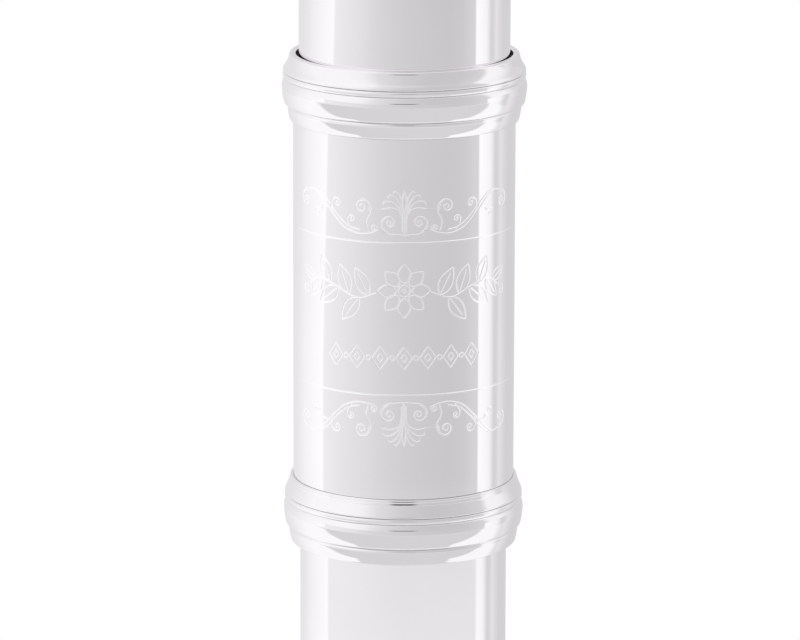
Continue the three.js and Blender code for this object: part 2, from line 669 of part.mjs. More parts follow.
// Thumb keys, at the back: the B key with its touch, and the B flat lever beside it.
const thumbTouch = plate(oval(-1.6, 317.5, 4.4, 8.6, 0.25), 16.2, 17.2);
const thumbKey = key(...right, [321.8, 341], [[HOLES.thumb, false]], [
  thumbTouch,
  slab([[-3, 15.3], [3, 15.3], [3, 16.9], [-3, 16.9]], 321, 327),
]);
const thumbLever = cut(
  join(
    hingeTube(...right, 300.3, 321.4),
    slab([[12.4, 11.9], [8.6, 15.6], [3.5, 16.9], [3.5, 17.7], [9.4, 17.1], [12.4, 14.6]], 303, 306.4),
    plate(oval(3.2, 301.2, 3.6, 6.6), 16.9, 17.9),
  ),
  tubeBore(...right, 299, 323),
);

// ---- Foot keys ----------------------------------------------------------------------------------------------
const footHinge = around(-FOOT_ANGLE, HINGE_R); // the hinge line seen from the foot's tone holes
const FOOT_OPEN = 10;

/** A plate or bar drawn at the front, turned into the foot holes' station. */
const inFootStation = (body) => body.rotate([0, 0, -FOOT_ANGLE]);
const contactX = leverLine[0] / 2; // where a lever lifts a key's tail, halfway between the two lines

/** The tail that a lever lifts, on the player's side of the foot's hinge line. */
const tail = (z) =>
  inFootStation(slab([[-0.6, HINGE_R - 1], [contactX - 1, HINGE_R - 0.6], [contactX - 1, HINGE_R + 0.6], [-0.6, HINGE_R + 1.2]], z - 1.5, z + 1.5));

const footDSharpTouch = inFootStation(
  join(
    slab([[-0.8, HINGE_R + 0.4], [-5, 20.2], [-5, 21.2], [0.2, HINGE_R + 1.7]], 92.5, 96),
    plate(oval(-8.6, 95.5, 4.8, 8.2, 0.2), 20, 21.2),
  ),
);
const footKeys = {
  d_sharp: key(...footHinge, [91.1, 105], [[FOOT_HOLES.d_sharp, false]], [footDSharpTouch]),
  c_sharp: key(...footHinge, [58.5, 85.5], [[FOOT_HOLES.c_sharp, false]], [tail(78)]),
  c: key(...footHinge, [24.7, 58.1], [[FOOT_HOLES.c, false]], [tail(47)]),
};

/** A low-key lever: it lifts a tail at tailZ when its touch is pressed. */
function lowLever(tube, tailZ, touchZ, touch) {
  const [x, h] = leverLine;
  const underTail = HINGE_R - 0.6 - (Math.abs(contactX) + 1) * Math.sin(radians(FOOT_OPEN)) - GAP;
  return cut(
    join(
      hingeTube(x, h, ...tube),
      slab([[x + 0.4, h + 0.6], [x + 1.2, h - 0.6], [contactX + 0.9, underTail - 1.1], [contactX + 0.9, underTail], [contactX - 0.9, underTail]], tailZ - 1.4, tailZ + 1.4),
      slab([[x - 0.6, h - 0.4], [-16.5, 17.6], [-16.5, 19], [-14, 19], [x + 0.4, h + 1.6]], touchZ - 1.6, touchZ + 1.6),
      touch,
    ),
    tubeBore(x, h, tube[0] - 1, tube[1] + 1),
  );
}
const C_SHARP_TOUCH_Z = 80.4;
const ROLLER_Z = 71.6;
const cSharpLever = lowLever([73.6, 84], 78, C_SHARP_TOUCH_Z, plate(oval(-14.6, C_SHARP_TOUCH_Z, 6.2, 4.4), 18.4, 19.6));
const ROLLER = { x: -15, h: 18.8, half: 3.4, outer: 1.9, bore: 0.65, pin: 0.5 };

/** A rod or tube along X through the roller's centre. */
function rollerRod(r, half) {
  const rod = new THREE.CylinderGeometry(r, r, 2 * half, SEGMENTS.small).rotateZ(Math.PI / 2);
  return solid(rod.translate(ROLLER.x, -ROLLER.h, ROLLER_Z));
}

/** A wall of the roller's cage, between two places across and two along the flute. */
function cageWall(x0, x1, z0, z1) {
  const [low, high] = [ROLLER.h - 1.8, ROLLER.h + 0.4];
  return slab([[x0, low], [x1, low], [x1, high], [x0, high]], ROLLER_Z + z0, ROLLER_Z + z1);
}
const cageEnd = ROLLER.half + 0.4;
const rollerCage = join(
  cageWall(ROLLER.x - cageEnd - 1.2, ROLLER.x + cageEnd + 1.2, -4.2, -2.6),
  cageWall(ROLLER.x - cageEnd - 1.2, ROLLER.x - cageEnd, -4.2, 1),
  cageWall(ROLLER.x + cageEnd, ROLLER.x + cageEnd + 1.2, -4.2, 1),
  rollerRod(ROLLER.pin, cageEnd + 0.6),
);
const cLever = lowLever([43, 73.2], 47, 67.6, rollerCage);
const roller = cut(rollerRod(ROLLER.outer, ROLLER.half), rollerRod(ROLLER.bore, ROLLER.half + 1));

// ---- Assembly -----------------------------------------------------------------------------------------------
const flute = new THREE.Group();
flute.add(
  piece("body_tube", bodyTube, SILVER),
  piece("barrel_sleeve", sleeve, SILVER),
  piece("barrel_lower_ring", lowerRing, SILVER),
  piece("barrel_upper_ring", upperRing, SILVER),
  piece("head_tube", headTube, SILVER),
  piece("lip_plate", lip, SILVER),
  piece("embouchure_riser", riser, SILVER),
  piece("crown", crown, SILVER),
  piece("stopper_screw", stopperScrew, SILVER),
  piece("stopper_cork", stopperCork, CORK),
  piece("stopper_nut", stopperNut, SILVER),
  piece("main_rib", mainRib, SILVER),
  piece("g_rib", gRib, SILVER),
  piece("foot_tube", footTube, SILVER),
  piece("foot_rib", footRib, SILVER),
  piece("right_hand_steel", pipeAt(...mainLine, STEEL, 0, 127.4, 230.8), STEEL_GREY),
  piece("left_hand_steel", pipeAt(...mainLine, STEEL, 0, 231.2, 375.6), STEEL_GREY),
  piece("g_steel", pipeAt(...gLine, STEEL, 0, 219.6, 283.9), STEEL_GREY),
  piece("foot_steel", pipeAt(...footLine, STEEL, 0, 20, 109.8), STEEL_GREY),
  piece("lever_steel", pipeAt(...leverLine, STEEL, 0, 38.5, 88.7), STEEL_GREY),
  ...bodyKeys,
  piece("shake_lever", shakeLever, SILVER),
  piece("trill_d_key", trillD, SILVER),
  piece("trill_d_pad", pad(HOLES.trill_d.r, HOLES.trill_d.z, false, SEGMENTS.small), SKIN),
  piece("trill_d_sharp_key", trillDSharp, SILVER),
  piece("trill_d_sharp_pad", pad(HOLES.trill_d_sharp.r, HOLES.trill_d_sharp.z, false, SEGMENTS.small), SKIN),
  piece("c_sharp_lever", cSharpLever, SILVER),
  piece("c_lever", cLever, SILVER),
  piece("c_roller", roller, SILVER),
);
flute.add(
  station(OFFSET_G, swung(...right, OPEN, ...gKeys)),
  station(gSharp.angle, piece("g_sharp_key", gSharpKey, SILVER), piece("g_sharp_pad", pad(gSharp.r, gSharp.z), SKIN)),
  station(
    HOLES.thumb.angle,
    piece("thumb_rib", thumbRib, SILVER),
    piece("thumb_steel", pipeAt(...right, STEEL, 0, 295.6, 345.7), STEEL_GREY),
    swung(
      ...right,
      OPEN,
      piece("thumb_key", thumbKey, SILVER),
      piece("thumb_pad", pad(HOLES.thumb.r, HOLES.thumb.z), SKIN),
    ),
    piece("thumb_b_flat_lever", thumbLever, SILVER),
  ),
);
for (const [name, body] of Object.entries(footKeys)) {
  const { z, r } = FOOT_HOLES[name];
  const standing = name === "d_sharp" ? 0 : -FOOT_OPEN;
  const key = piece(`foot_${name}_key`, body, SILVER);
  const cushion = piece(`foot_${name}_pad`, pad(r, z), SKIN);
  flute.add(station(FOOT_ANGLE, swung(...footHinge, standing, key, cushion)));
}

export default flute;
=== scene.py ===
"""A concert flute in C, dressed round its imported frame: polished silver plate, an engraved barrel, skin pads.

Lengths are millimetres until a mesh is made, which is when they turn to metres. A place is often given as
(x, h, z): z runs along the bore, h is the height over the bore's axis on the keys' side, and x runs across.
"""

import json
import logging
import math
import sys
from collections.abc import Callable, Iterable, Sequence
from dataclasses import dataclass, field
from enum import Enum

import bmesh
import bpy
import numpy as np
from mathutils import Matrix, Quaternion, Vector
from mathutils.geometry import delaunay_2d_cdt
from mathutils.kdtree import KDTree


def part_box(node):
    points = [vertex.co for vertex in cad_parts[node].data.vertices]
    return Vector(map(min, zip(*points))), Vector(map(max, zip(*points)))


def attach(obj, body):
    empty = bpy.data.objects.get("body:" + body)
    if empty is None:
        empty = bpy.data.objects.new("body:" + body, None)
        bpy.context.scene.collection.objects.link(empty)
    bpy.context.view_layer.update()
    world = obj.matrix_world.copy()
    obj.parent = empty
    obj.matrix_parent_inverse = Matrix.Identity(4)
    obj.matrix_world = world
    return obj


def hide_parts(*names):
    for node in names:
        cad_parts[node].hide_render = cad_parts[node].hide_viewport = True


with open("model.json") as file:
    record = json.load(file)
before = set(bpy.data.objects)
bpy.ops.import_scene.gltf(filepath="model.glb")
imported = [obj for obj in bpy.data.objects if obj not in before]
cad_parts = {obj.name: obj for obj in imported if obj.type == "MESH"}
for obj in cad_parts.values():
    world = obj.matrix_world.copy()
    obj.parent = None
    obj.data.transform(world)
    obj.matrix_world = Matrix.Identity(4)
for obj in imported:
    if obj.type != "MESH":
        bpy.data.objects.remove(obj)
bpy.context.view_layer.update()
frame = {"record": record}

log = logging.getLogger("flute")
Profile = list[tuple[float, float]]
Place = tuple[float, float, float]
MM = 0.001
BODY_OF_NODE: dict[str, str] = {
    node: body for body, nodes in frame["record"]["behaviour"]["bodies"].items() for node in nodes
}


# ---- The frame -----------------------------------------------------------------------------------


def span(node: str) -> tuple[float, float]:
    """The lowest and highest z of a CAD node, in millimetres."""
    low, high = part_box(node)
    return low.z / MM, high.z / MM


def centre_z(node: str) -> float:
    """The middle of a CAD node along the bore, in millimetres."""
    return sum(span(node)) / 2


# ---- Shells: polygon meshes in millimetres -------------------------------------------------------


@dataclass
class Shell:
    """Points as (x, h, z) in millimetres, and the polygons between them."""

    points: np.ndarray
    faces: list[tuple[int, ...]]


def joined(shells: Iterable[Shell]) -> Shell:
    """Put several shells in one.

    Args:
        shells: The shells to put together; they may pass through each other.

    Returns:
        One shell with all their points and faces.
    """
    points, faces, offset = [], [], 0
    for shell in shells:
        points.append(shell.points)
        faces += [tuple(i + offset for i in face) for face in shell.faces]
        offset += len(shell.points)
    return Shell(np.concatenate(points), faces)


def grid(
    points: np.ndarray, wrap_rows: bool = False, wrap_columns: bool = False, caps: bool = False
) -> Shell:
    """Make quads between the rows and columns of a grid of points.

    Args:
        points: An array of rows by columns by 3.
        wrap_rows: Whether the last row joins the first.
        wrap_columns: Whether the last column joins the first.
        caps: Whether the first and last rows are closed with one polygon each.

    Returns:
        The shell over the grid.
    """
    rows, columns = points.shape[:2]

    def at(i: int, j: int) -> int:
        """The number of the point in row i and column j, counted round."""
        return (i % rows) * columns + j % columns

    faces: list[tuple[int, ...]] = [
        (at(i, j), at(i, j + 1), at(i + 1, j + 1), at(i + 1, j))
        for i in range(rows if wrap_rows else rows - 1)
        for j in range(columns if wrap_columns else columns - 1)
    ]
    if caps:
        faces.append(tuple(at(0, j) for j in range(columns)))
        faces.append(tuple(at(rows - 1, j) for j in reversed(range(columns))))
    return Shell(points.reshape(-1, 3), faces)


def softened(profile: Profile, radius: float = 0.12, steps: int = 3) -> Profile:
    """Round the inner corners of an open or closed profile.

    Args:
        profile: Corners in order; a closed one repeats its first corner at the end.
        radius: How far from a corner its rounding starts, in millimetres.
        steps: Segments in each rounding.

    Returns:
        The rounded profile, closed if the given one was.
    """
    corners = [np.array(p, float) for p in profile]
    closed = bool(np.allclose(corners[0], corners[-1]))
    if closed:
        corners = corners[:-1]
    count, out = len(corners), []
    for i, corner in enumerate(corners):
        if not closed and i in (0, count - 1):
            out.append(corner)
            continue
        before, after = corners[i - 1] - corner, corners[(i + 1) % count] - corner
        reach = min(radius, 0.45 * np.linalg.norm(before), 0.45 * np.linalg.norm(after))
        start = corner + before / np.linalg.norm(before) * reach
        end = corner + after / np.linalg.norm(after) * reach
        for t in np.linspace(0, 1, steps + 1):
            out.append((1 - t) ** 2 * start + 2 * t * (1 - t) * corner + t**2 * end)
    if closed:
        out.append(out[0])
    return [(float(r), float(z)) for r, z in out]


def lathe(profile: Profile, base: Place = (0, 0, 0), along: Place = (0, 0, 1), segments: int = 40) -> Shell:
    """Turn a profile about an axis.

    Args:
        profile: (radius, distance along the axis) points, closed on itself or ending on the axis.
        base: Where the distances start.
        along: The axis.
        segments: Steps round the axis.

    Returns:
        The turned shell.
    """
    axis = np.array(along, float) / np.linalg.norm(along)
    other = np.array((1.0, 0, 0)) if abs(axis[0]) < 0.9 else np.array((0, 1.0, 0))
    side = np.cross(axis, other)
    side /= np.linalg.norm(side)
    up = np.cross(side, axis)
    closed = np.allclose(profile[0], profile[-1])
    rows = np.array(profile[:-1] if closed else profile)
    turn = np.linspace(0, 2 * math.pi, segments, endpoint=False)
    ring = np.cos(turn)[:, None] * up + np.sin(turn)[:, None] * side
    points = np.array(base) + rows[:, 0, None, None] * ring + (rows[:, 1, None] * axis)[:, None, :]
    return grid(points, wrap_rows=closed, wrap_columns=True)


def smooth_line(points: Sequence[Sequence[float]], steps: int = 8) -> np.ndarray:
    """A Catmull-Rom line through points.

    Args:
        points: The points it passes, of any number of coordinates.
        steps: Segments between two points.

    Returns:
        The points of the line.
    """
    p = np.array(points, float)
    p = np.vstack([2 * p[0] - p[1], p, 2 * p[-1] - p[-2]])
    out = []
    for i in range(1, len(p) - 2):
        for t in np.linspace(0, 1, steps, endpoint=False):
            a, b, c, d = p[i - 1 : i + 3]
            square, cube = 2 * a - 5 * b + 4 * c - d, 3 * b - a - 3 * c + d
            out.append(0.5 * (2 * b + (c - a) * t + square * t**2 + cube * t**3))
    return np.array([*out, p[-2]])


def blade(stations: Sequence[tuple[float, float, float, float, float]], steps: int = 6) -> Shell:
    """A forged bar with round edges and ends that follows a smooth line.

    Args:
        stations: (x, h, z, width, thickness) along the bar; the width lies across the line, level.
        steps: Segments between two stations.

    Returns:
        The closed shell.
    """
    line = smooth_line(stations, steps)
    ease = np.clip(np.minimum(np.arange(len(line)), np.arange(len(line))[::-1]) / 2.5, 0, 1)
    ease = np.sqrt(np.clip(1 - (1 - ease) ** 2, 0.02, 1))
    centres = line[:, :3]
    tangents = np.gradient(centres, axis=0)
    tangents /= np.linalg.norm(tangents, axis=1)[:, None]
    across = np.cross(tangents, (0, 1.0, 0))
    across /= np.maximum(np.linalg.norm(across, axis=1), 1e-6)[:, None]
    over = np.cross(across, tangents)
    turn = np.linspace(0, 2 * math.pi, 16, endpoint=False)
    u = np.sign(np.cos(turn)) * np.abs(np.cos(turn)) ** 0.55
    v = np.sign(np.sin(turn)) * np.abs(np.sin(turn)) ** 0.7
    half_w, half_t = line[:, 3] / 2 * ease, line[:, 4] / 2 * ease
    points = (
        centres[:, None, :]
        + (half_w[:, None] * u)[:, :, None] * across[:, None, :]
        + (half_t[:, None] * v)[:, :, None] * over[:, None, :]
    )
    return grid(points, wrap_columns=True, caps=True)


def pebble(
    x: float, z: float, half_x: float, half_z: float, low: float, high: float, taper: float = 0
) -> Shell:
    """A finger's touch: an oval plate with a slightly hollowed top and round edges.

    Args:
        x: Its centre across.
        z: Its centre along the bore.
        half_x: Half its width.
        half_z: Half its length.
        low: The height of its underside.
        high: The height of its rim.
        taper: How much narrower its low end is, as a share.

    Returns:
        The closed shell.
    """
    edge = (high - low) / 2
    turn = np.linspace(0, 2 * math.pi, 40, endpoint=False)
    slim = 1 - taper * (0.5 - 0.5 * np.sin(turn))
    rows = [(0.0, low), (0.5, low)]
    round_edge = np.linspace(0, math.pi, 9)
    rows += [(1 - edge * (1 - math.sin(a)), low + edge * (1 - math.cos(a))) for a in round_edge]
    rows += [(0.7, high - 0.1), (0.4, high - 0.2), (0.0, high - 0.22)]
    points = []
    for share, h in rows:
        inset = 0.0 if share <= 0.7 else 1 - share
        fx = half_x * share if share <= 0.7 else half_x - inset
        fz = half_z * share if share <= 0.7 else half_z - inset
        across, along = x + fx * slim * np.cos(turn), z + fz * np.sin(turn)
        points.append(np.stack([across, np.full_like(turn, h), along], 1))
    return grid(np.array(points), wrap_columns=True)


# ---- Stations: where a shell goes in the flute ---------------------------------------------------


@dataclass(frozen=True)
class Station:
    """A turn round the bore, and a swing about a hinge line before that turn."""

    angle: float = 0.0
    hinge: tuple[float, float] = (0.0, 0.0)
    swing: float = 0.0

    def place(self, points: np.ndarray) -> np.ndarray:
        """Turn (x, h, z) points into the row frame.

        Args:
            points: Points in this station, in millimetres.

        Returns:
            Points in the row frame, in metres.
        """
        x, y, z = points[:, 0], -points[:, 1], points[:, 2]
        hx, hy = self.hinge[0], -self.hinge[1]
        c, s = math.cos(math.radians(self.swing)), math.sin(math.radians(self.swing))
        x, y = hx + c * (x - hx) - s * (y - hy), hy + s * (x - hx) + c * (y - hy)
        c, s = math.cos(math.radians(self.angle)), math.sin(math.radians(self.angle))
        return np.stack([c * x - s * y, s * x + c * y, z], 1) * MM


def around(angle: float, radius: float) -> tuple[float, float]:
    """The (x, h) place at an angle round the bore."""
    return radius * math.sin(math.radians(angle)), radius * math.cos(math.radians(angle))


# ---- Finishes ------------------------------------------------------------------------------------


def linear(colour: str) -> tuple[float, float, float, float]:
    """Turn an sRGB hex colour into linear values.

    Args:
        colour: Such as "#e8e6e1".

    Returns:
        Linear red, green and blue, and an alpha of 1.
    """
    channels = [int(colour[i : i + 2], 16) / 255 for i in (1, 3, 5)]
    r, g, b = (c / 12.92 if c <= 0.04045 else ((c + 0.055) / 1.055) ** 2.4 for c in channels)
    return r, g, b, 1.0


def add_node(
    tree: bpy.types.NodeTree, kind: str, values: dict | None = None, **settings: object
) -> bpy.types.Node:
    """Add a node to a tree.

    Args:
        tree: The tree of a material or of the world.
        kind: The node's type, without the ShaderNode prefix.
        values: Input name or number to a value, or to a socket to link from.
        **settings: Properties of the node.

    Returns:
        The node.
    """
    made = tree.nodes.new("ShaderNode" + kind)
    for key, value in settings.items():
        setattr(made, key, value)
    for key, value in (values or {}).items():
        if isinstance(value, bpy.types.NodeSocket):
            tree.links.new(value, made.inputs[key])
        else:
            made.inputs[key].default_value = value
    return made


@dataclass
class Recipe:
    """A material being made, with one way to add a node."""

    name: str
    material: bpy.types.Material = field(init=False)

    def __post_init__(self) -> None:
        """Start from an empty node tree."""
        self.material = bpy.data.materials.new(self.name)
        self.material.use_nodes = True
        self.material.node_tree.nodes.clear()

    def node(self, kind: str, values: dict | None = None, **settings: object) -> bpy.types.Node:
        """Add a node to the material, as add_node does."""
        return add_node(self.material.node_tree, kind, values, **settings)

    def finish(self, shader: bpy.types.Node) -> bpy.types.Material:
        """Link the shader to the output and return the material."""
        self.node("OutputMaterial", {"Surface": shader.outputs[0]})
        return self.material


@dataclass(frozen=True)
class SilverPlate:
    """Silver plate on nickel silver, buffed on a cloth wheel: a mirror with the faintest hairlines."""

    name: str = "silver_plate_buffed"
    colour: str = "#fcfbfc"
    worn_colour: str = "#f4f2f4"
    roughness: float = 0.02
    roughness_worn: float = 0.045
    hairline_mm: float = 0.9  # real hairlines are finer; drawn coarse enough to show
    hairline_depth_mm: float = 0.0008
    hairline_stretch: Place = (0.08, 0.08, 1.0)  # long across the tube, as the cloth wheel runs round it
    cloud_mm: float = 14.0

    def make(self) -> bpy.types.Material:
        """Build the material."""
        recipe = Recipe(self.name)
        place = recipe.node("TexCoord").outputs["Object"]
        clouds = recipe.node(
            "TexNoise", {"Vector": place, "Scale": 1000 / self.cloud_mm, "Detail": 3.0, "Roughness": 0.5}
        )
        colour = recipe.node(
            "Mix",
            {0: clouds.outputs["Fac"], 6: linear(self.colour), 7: linear(self.worn_colour)},
            data_type="RGBA",
        )
        rough = recipe.node(
            "MapRange",
            {"Value": clouds.outputs["Fac"], "From Min": 0.35, "From Max": 0.75}
            | {"To Min": self.roughness, "To Max": self.roughness_worn},
        )
        stretched = recipe.node("Mapping", {"Vector": place, "Scale": self.hairline_stretch})
        hairlines = recipe.node(
            "TexNoise",
            {"Vector": stretched.outputs[0], "Scale": 1000 / self.hairline_mm}
            | {"Detail": 4.0, "Roughness": 0.7},
        )
        bump = recipe.node(
            "Bump",
            {"Height": hairlines.outputs["Fac"], "Strength": 0.5, "Distance": self.hairline_depth_mm * MM},
        )
        shader = recipe.node(
            "BsdfPrincipled",
            {
                "Base Color": colour.outputs[2],
                "Metallic": 1.0,
                "Roughness": rough.outputs[0],
                "Normal": bump.outputs[0],
            },
        )
        return recipe.finish(shader)


@dataclass(frozen=True)
class CutSilver:
    """The floor of an engraved line: freshly cut silver plate, bright and slightly frosted by the tool."""

    name: str = "silver_engraved_cut"
    colour: str = "#ffffff"
    roughness: float = 0.15
    roughness_spread: float = 0.05
    chatter_mm: float = 0.3
    chatter_depth_mm: float = 0.002

    def make(self) -> bpy.types.Material:
        """Build the material."""
        recipe = Recipe(self.name)
        place = recipe.node("TexCoord").outputs["Object"]
        chatter = recipe.node(
            "TexNoise", {"Vector": place, "Scale": 1000 / self.chatter_mm, "Detail": 2.0, "Roughness": 0.6}
        )
        bump = recipe.node(
            "Bump",
            {"Height": chatter.outputs["Fac"], "Strength": 0.6, "Distance": self.chatter_depth_mm * MM},
        )
        low, high = self.roughness - self.roughness_spread, self.roughness + self.roughness_spread
        rough = recipe.node("MapRange", {"Value": chatter.outputs["Fac"], "To Min": low, "To Max": high})
        shader = recipe.node(
            "BsdfPrincipled",
            {
                "Base Color": linear(self.colour),
                "Metallic": 1.0,
                "Roughness": rough.outputs[0],
                "Normal": bump.outputs[0],
            },
        )
        return recipe.finish(shader)


@dataclass(frozen=True)
class PaintedShadeSilver:
    """Painted shade on silver: dull dark grey with paler blotches, laid in a socket's mouth or a groove where
    shade falls.
    """

    name: str = "silver_painted_shade"
    # colour is painted shade: near black, standing in for the shade in a gap or groove
    colour: str = "#1d1b1c"
    paler_shade_colour: str = "#3d3a3a"
    roughness: float = 0.62
    blotch_mm: float = 1.6

    def make(self) -> bpy.types.Material:
        """Build the material."""
        recipe = Recipe(self.name)
        place = recipe.node("TexCoord").outputs["Object"]
        blotches = recipe.node("TexNoise", {"Vector": place, "Scale": 1000 / self.blotch_mm, "Detail": 4.0})
        colour = recipe.node(
            "Mix",
            {0: blotches.outputs["Fac"], 6: linear(self.colour), 7: linear(self.paler_shade_colour)},
            data_type="RGBA",
        )
        bump = recipe.node("Bump", {"Height": blotches.outputs["Fac"], "Strength": 0.4, "Distance": 0.02 * MM})
        shader = recipe.node(
            "BsdfPrincipled",
            {
                "Base Color": colour.outputs[2],
                "Metallic": 0.3,
                "Roughness": self.roughness,
                "Normal": bump.outputs[0],
            },
        )
        return recipe.finish(shader)


@dataclass(frozen=True)
class GroundSteel:
    """Ground and oiled carbon steel of hinge rods, screws and springs: grey, with fine turning marks."""

    name: str = "steel_ground"
    colour: str = "#b9bbbe"
    shade: str = "#a9abb0"
    roughness: float = 0.2
    mark_mm: float = 0.35  # turning marks; real ones are finer

    def make(self) -> bpy.types.Material:
        """Build the material."""
        recipe = Recipe(self.name)
        place = recipe.node("TexCoord").outputs["Object"]
        marks = recipe.node(
            "TexWave",
            {"Vector": place, "Scale": 1000 / self.mark_mm / 20, "Distortion": 2.0, "Detail": 3.0},
            bands_direction="Z",
        )
        colour = recipe.node(
            "Mix", {0: marks.outputs["Fac"], 6: linear(self.colour), 7: linear(self.shade)}, data_type="RGBA"
        )
        bump = recipe.node("Bump", {"Height": marks.outputs["Fac"], "Strength": 0.2, "Distance": 0.0015 * MM})
        shader = recipe.node(
            "BsdfPrincipled",
            {
                "Base Color": colour.outputs[2],
                "Metallic": 1.0,
                "Roughness": self.roughness,
                "Normal": bump.outputs[0],
            },
        )
        return recipe.finish(shader)


@dataclass(frozen=True)
class PadSkin:
    """Goldbeater's skin stretched over woven felt: a pale, waxy sheet with fine creases."""

    name: str = "pad_skin_over_felt"
    colour: str = "#e9ddb9"
    crease_colour: str = "#cdbb8c"
    roughness: float = 0.42
    crease_mm: float = 1.4

    def make(self) -> bpy.types.Material:
        """Build the material."""
        recipe = Recipe(self.name)
        place = recipe.node("TexCoord").outputs["Object"]
        creases = recipe.node(
            "TexNoise",
            {"Vector": place, "Scale": 1000 / self.crease_mm, "Detail": 6.0}
            | {"Roughness": 0.65, "Distortion": 1.2},
        )
        colour = recipe.node(
            "Mix",
            {0: creases.outputs["Fac"], 6: linear(self.crease_colour), 7: linear(self.colour)},
            data_type="RGBA",
        )
        bump = recipe.node("Bump", {"Height": creases.outputs["Fac"], "Strength": 0.5, "Distance": 0.06 * MM})
        shader = recipe.node(
            "BsdfPrincipled",
            {
                "Base Color": colour.outputs[2],
                "Roughness": self.roughness,
                "Subsurface Weight": 0.15,
                "Subsurface Radius": (0.8 * MM, 0.5 * MM, 0.3 * MM),
                "Normal": bump.outputs[0],
            },
        )
        return recipe.finish(shader)


@dataclass(frozen=True)
class NaturalCork:
    """Turned natural cork: warm brown with darker pores."""

    name: str = "cork_turned"
    colour: str = "#c49a6c"
    pore_colour: str = "#7b5331"
    roughness: float = 0.82
    pore_mm: float = 1.1

    def make(self) -> bpy.types.Material:
        """Build the material."""
        recipe = Recipe(self.name)
        place = recipe.node("TexCoord").outputs["Object"]
        pores = recipe.node("TexVoronoi", {"Vector": place, "Scale": 1000 / self.pore_mm, "Randomness": 1.0})
        grain = recipe.node("TexNoise", {"Vector": place, "Scale": 1000 / (self.pore_mm * 3), "Detail": 5.0})
        dark = recipe.node(
            "MapRange",
            {"Value": pores.outputs["Distance"], "From Min": 0.05, "From Max": 0.35}
            | {"To Min": 0.15, "To Max": 1.0},
        )
        blend = recipe.node("Math", {0: dark.outputs[0], 1: grain.outputs["Fac"]}, operation="MULTIPLY")
        colour = recipe.node(
            "Mix",
            {0: blend.outputs[0], 6: linear(self.pore_colour), 7: linear(self.colour)},
            data_type="RGBA",
        )
        bump = recipe.node("Bump", {"Height": dark.outputs[0], "Strength": 0.6, "Distance": 0.12 * MM})
        shader = recipe.node(
            "BsdfPrincipled",
            {"Base Color": colour.outputs[2], "Roughness": self.roughness, "Normal": bump.outputs[0]},
        )
        return recipe.finish(shader)


class Finish(Enum):
    """The finishes of the flute, each with the record's slot that it belongs to."""

    SILVER = (SilverPlate(), "silver")
    CUT = (CutSilver(), "silver")
    # Painted shade, near black, for the gap in the socket's mouth
    TARNISH = (PaintedShadeSilver(), "silver")
    # A lighter painted shade, for the thin lines in the rings' grooves and joints
    RESIDUE = (PaintedShadeSilver("silver_painted_groove_shade", "#8a888b", "#a8a6a9", 0.55, 0.8), "silver")
    STEEL = (GroundSteel(), "steel")
    SKIN = (PadSkin(), "pad_skin")
    CORK = (NaturalCork(), "cork")

    def material(self) -> bpy.types.Material:
        """The finish's material, made the first time that it is asked for."""
        return bpy.data.materials.get(self.value[0].name) or self.value[0].make()

    @property
    def slot(self) -> str:
        """The record's material slot."""
        return self.value[1]


# ---- Pieces --------------------------------------------------------------------------------------


def mesh_of(name: str, shell: Shell, station: Station, weld_mm: float = 2e-4) -> bpy.types.Mesh:
    """Make a mesh from a shell, welded, with its faces turned outwards.

    Args:
        name: The mesh's name.
        shell: What to make.
        station: Where it stands.
        weld_mm: Points closer than this are made one.

    Returns:
        The mesh, in metres.
    """
    mesh = bpy.data.meshes.new(name)
    mesh.from_pydata(station.place(shell.points).tolist(), [], shell.faces)
    edit = bmesh.new()
    edit.from_mesh(mesh)
    bmesh.ops.remove_doubles(edit, verts=edit.verts, dist=weld_mm * MM)
    bmesh.ops.dissolve_degenerate(edit, dist=weld_mm * MM / 4, edges=edit.edges)
    bmesh.ops.recalc_face_normals(edit, faces=edit.faces)
    edit.to_mesh(mesh)
    edit.free()
    return mesh


def add_piece(
    name: str,
    shells: Shell | Sequence[Shell],
    finish: Finish,
    *nodes: str,
    body: str = "",
    station: Station = Station(),
    sharp: float = 38,
    weighted: bool = True,
) -> bpy.types.Object:
    """Make a piece of the flute, dress it, and hang it on its body.

    Args:
        name: The piece's name.
        shells: Its shape.
        finish: Its finish.
        *nodes: The CAD nodes that it stands for.
        body: The body that it rides on; that of its first node if it is left out.
        station: Where it stands.
        sharp: Edges steeper than this stay crisp, in degrees.
        weighted: Whether flat faces keep their shading flat next to rounded edges.

    Returns:
        The piece.
    """
    shell = shells if isinstance(shells, Shell) else joined(shells)
    mesh = mesh_of(name, shell, station)
    mesh.shade_smooth()
    mesh.set_sharp_from_angle(angle=math.radians(sharp))
    piece = bpy.data.objects.new(name, mesh)
    bpy.context.scene.collection.objects.link(piece)
    mesh.materials.append(finish.material())
    if weighted:
        modifier = piece.modifiers.new("even_shading", "WEIGHTED_NORMAL")
        modifier.keep_sharp = True
        modifier.weight = 80
    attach(piece, body or BODY_OF_NODE[nodes[0]])
    if nodes:
        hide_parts(*nodes)
    log.info("%s: %d faces, on %s", name, len(mesh.polygons), body or BODY_OF_NODE[nodes[0]])
    return piece


def level_normals(
    piece: bpy.types.Object, normal_at: Callable[[np.ndarray, np.ndarray], np.ndarray]
) -> None:
    """Give a piece's corners the normals of the true round surface.

    Args:
        piece: The piece, with smooth shading already set.
        normal_at: From corner points in millimetres and their present normals to the wanted normals.
    """
    mesh = piece.data
    corners = np.empty(len(mesh.loops), dtype=np.int32)
    mesh.loops.foreach_get("vertex_index", corners)
    co = np.empty(len(mesh.vertices) * 3)
    mesh.vertices.foreach_get("co", co)
    co = co.reshape(-1, 3)[corners] / MM
    now = np.array([tuple(n.vector) for n in mesh.corner_normals])
    mesh.normals_split_custom_set(normal_at(co, now).tolist())


# ---- Parts that repeat ---------------------------------------------------------------------------


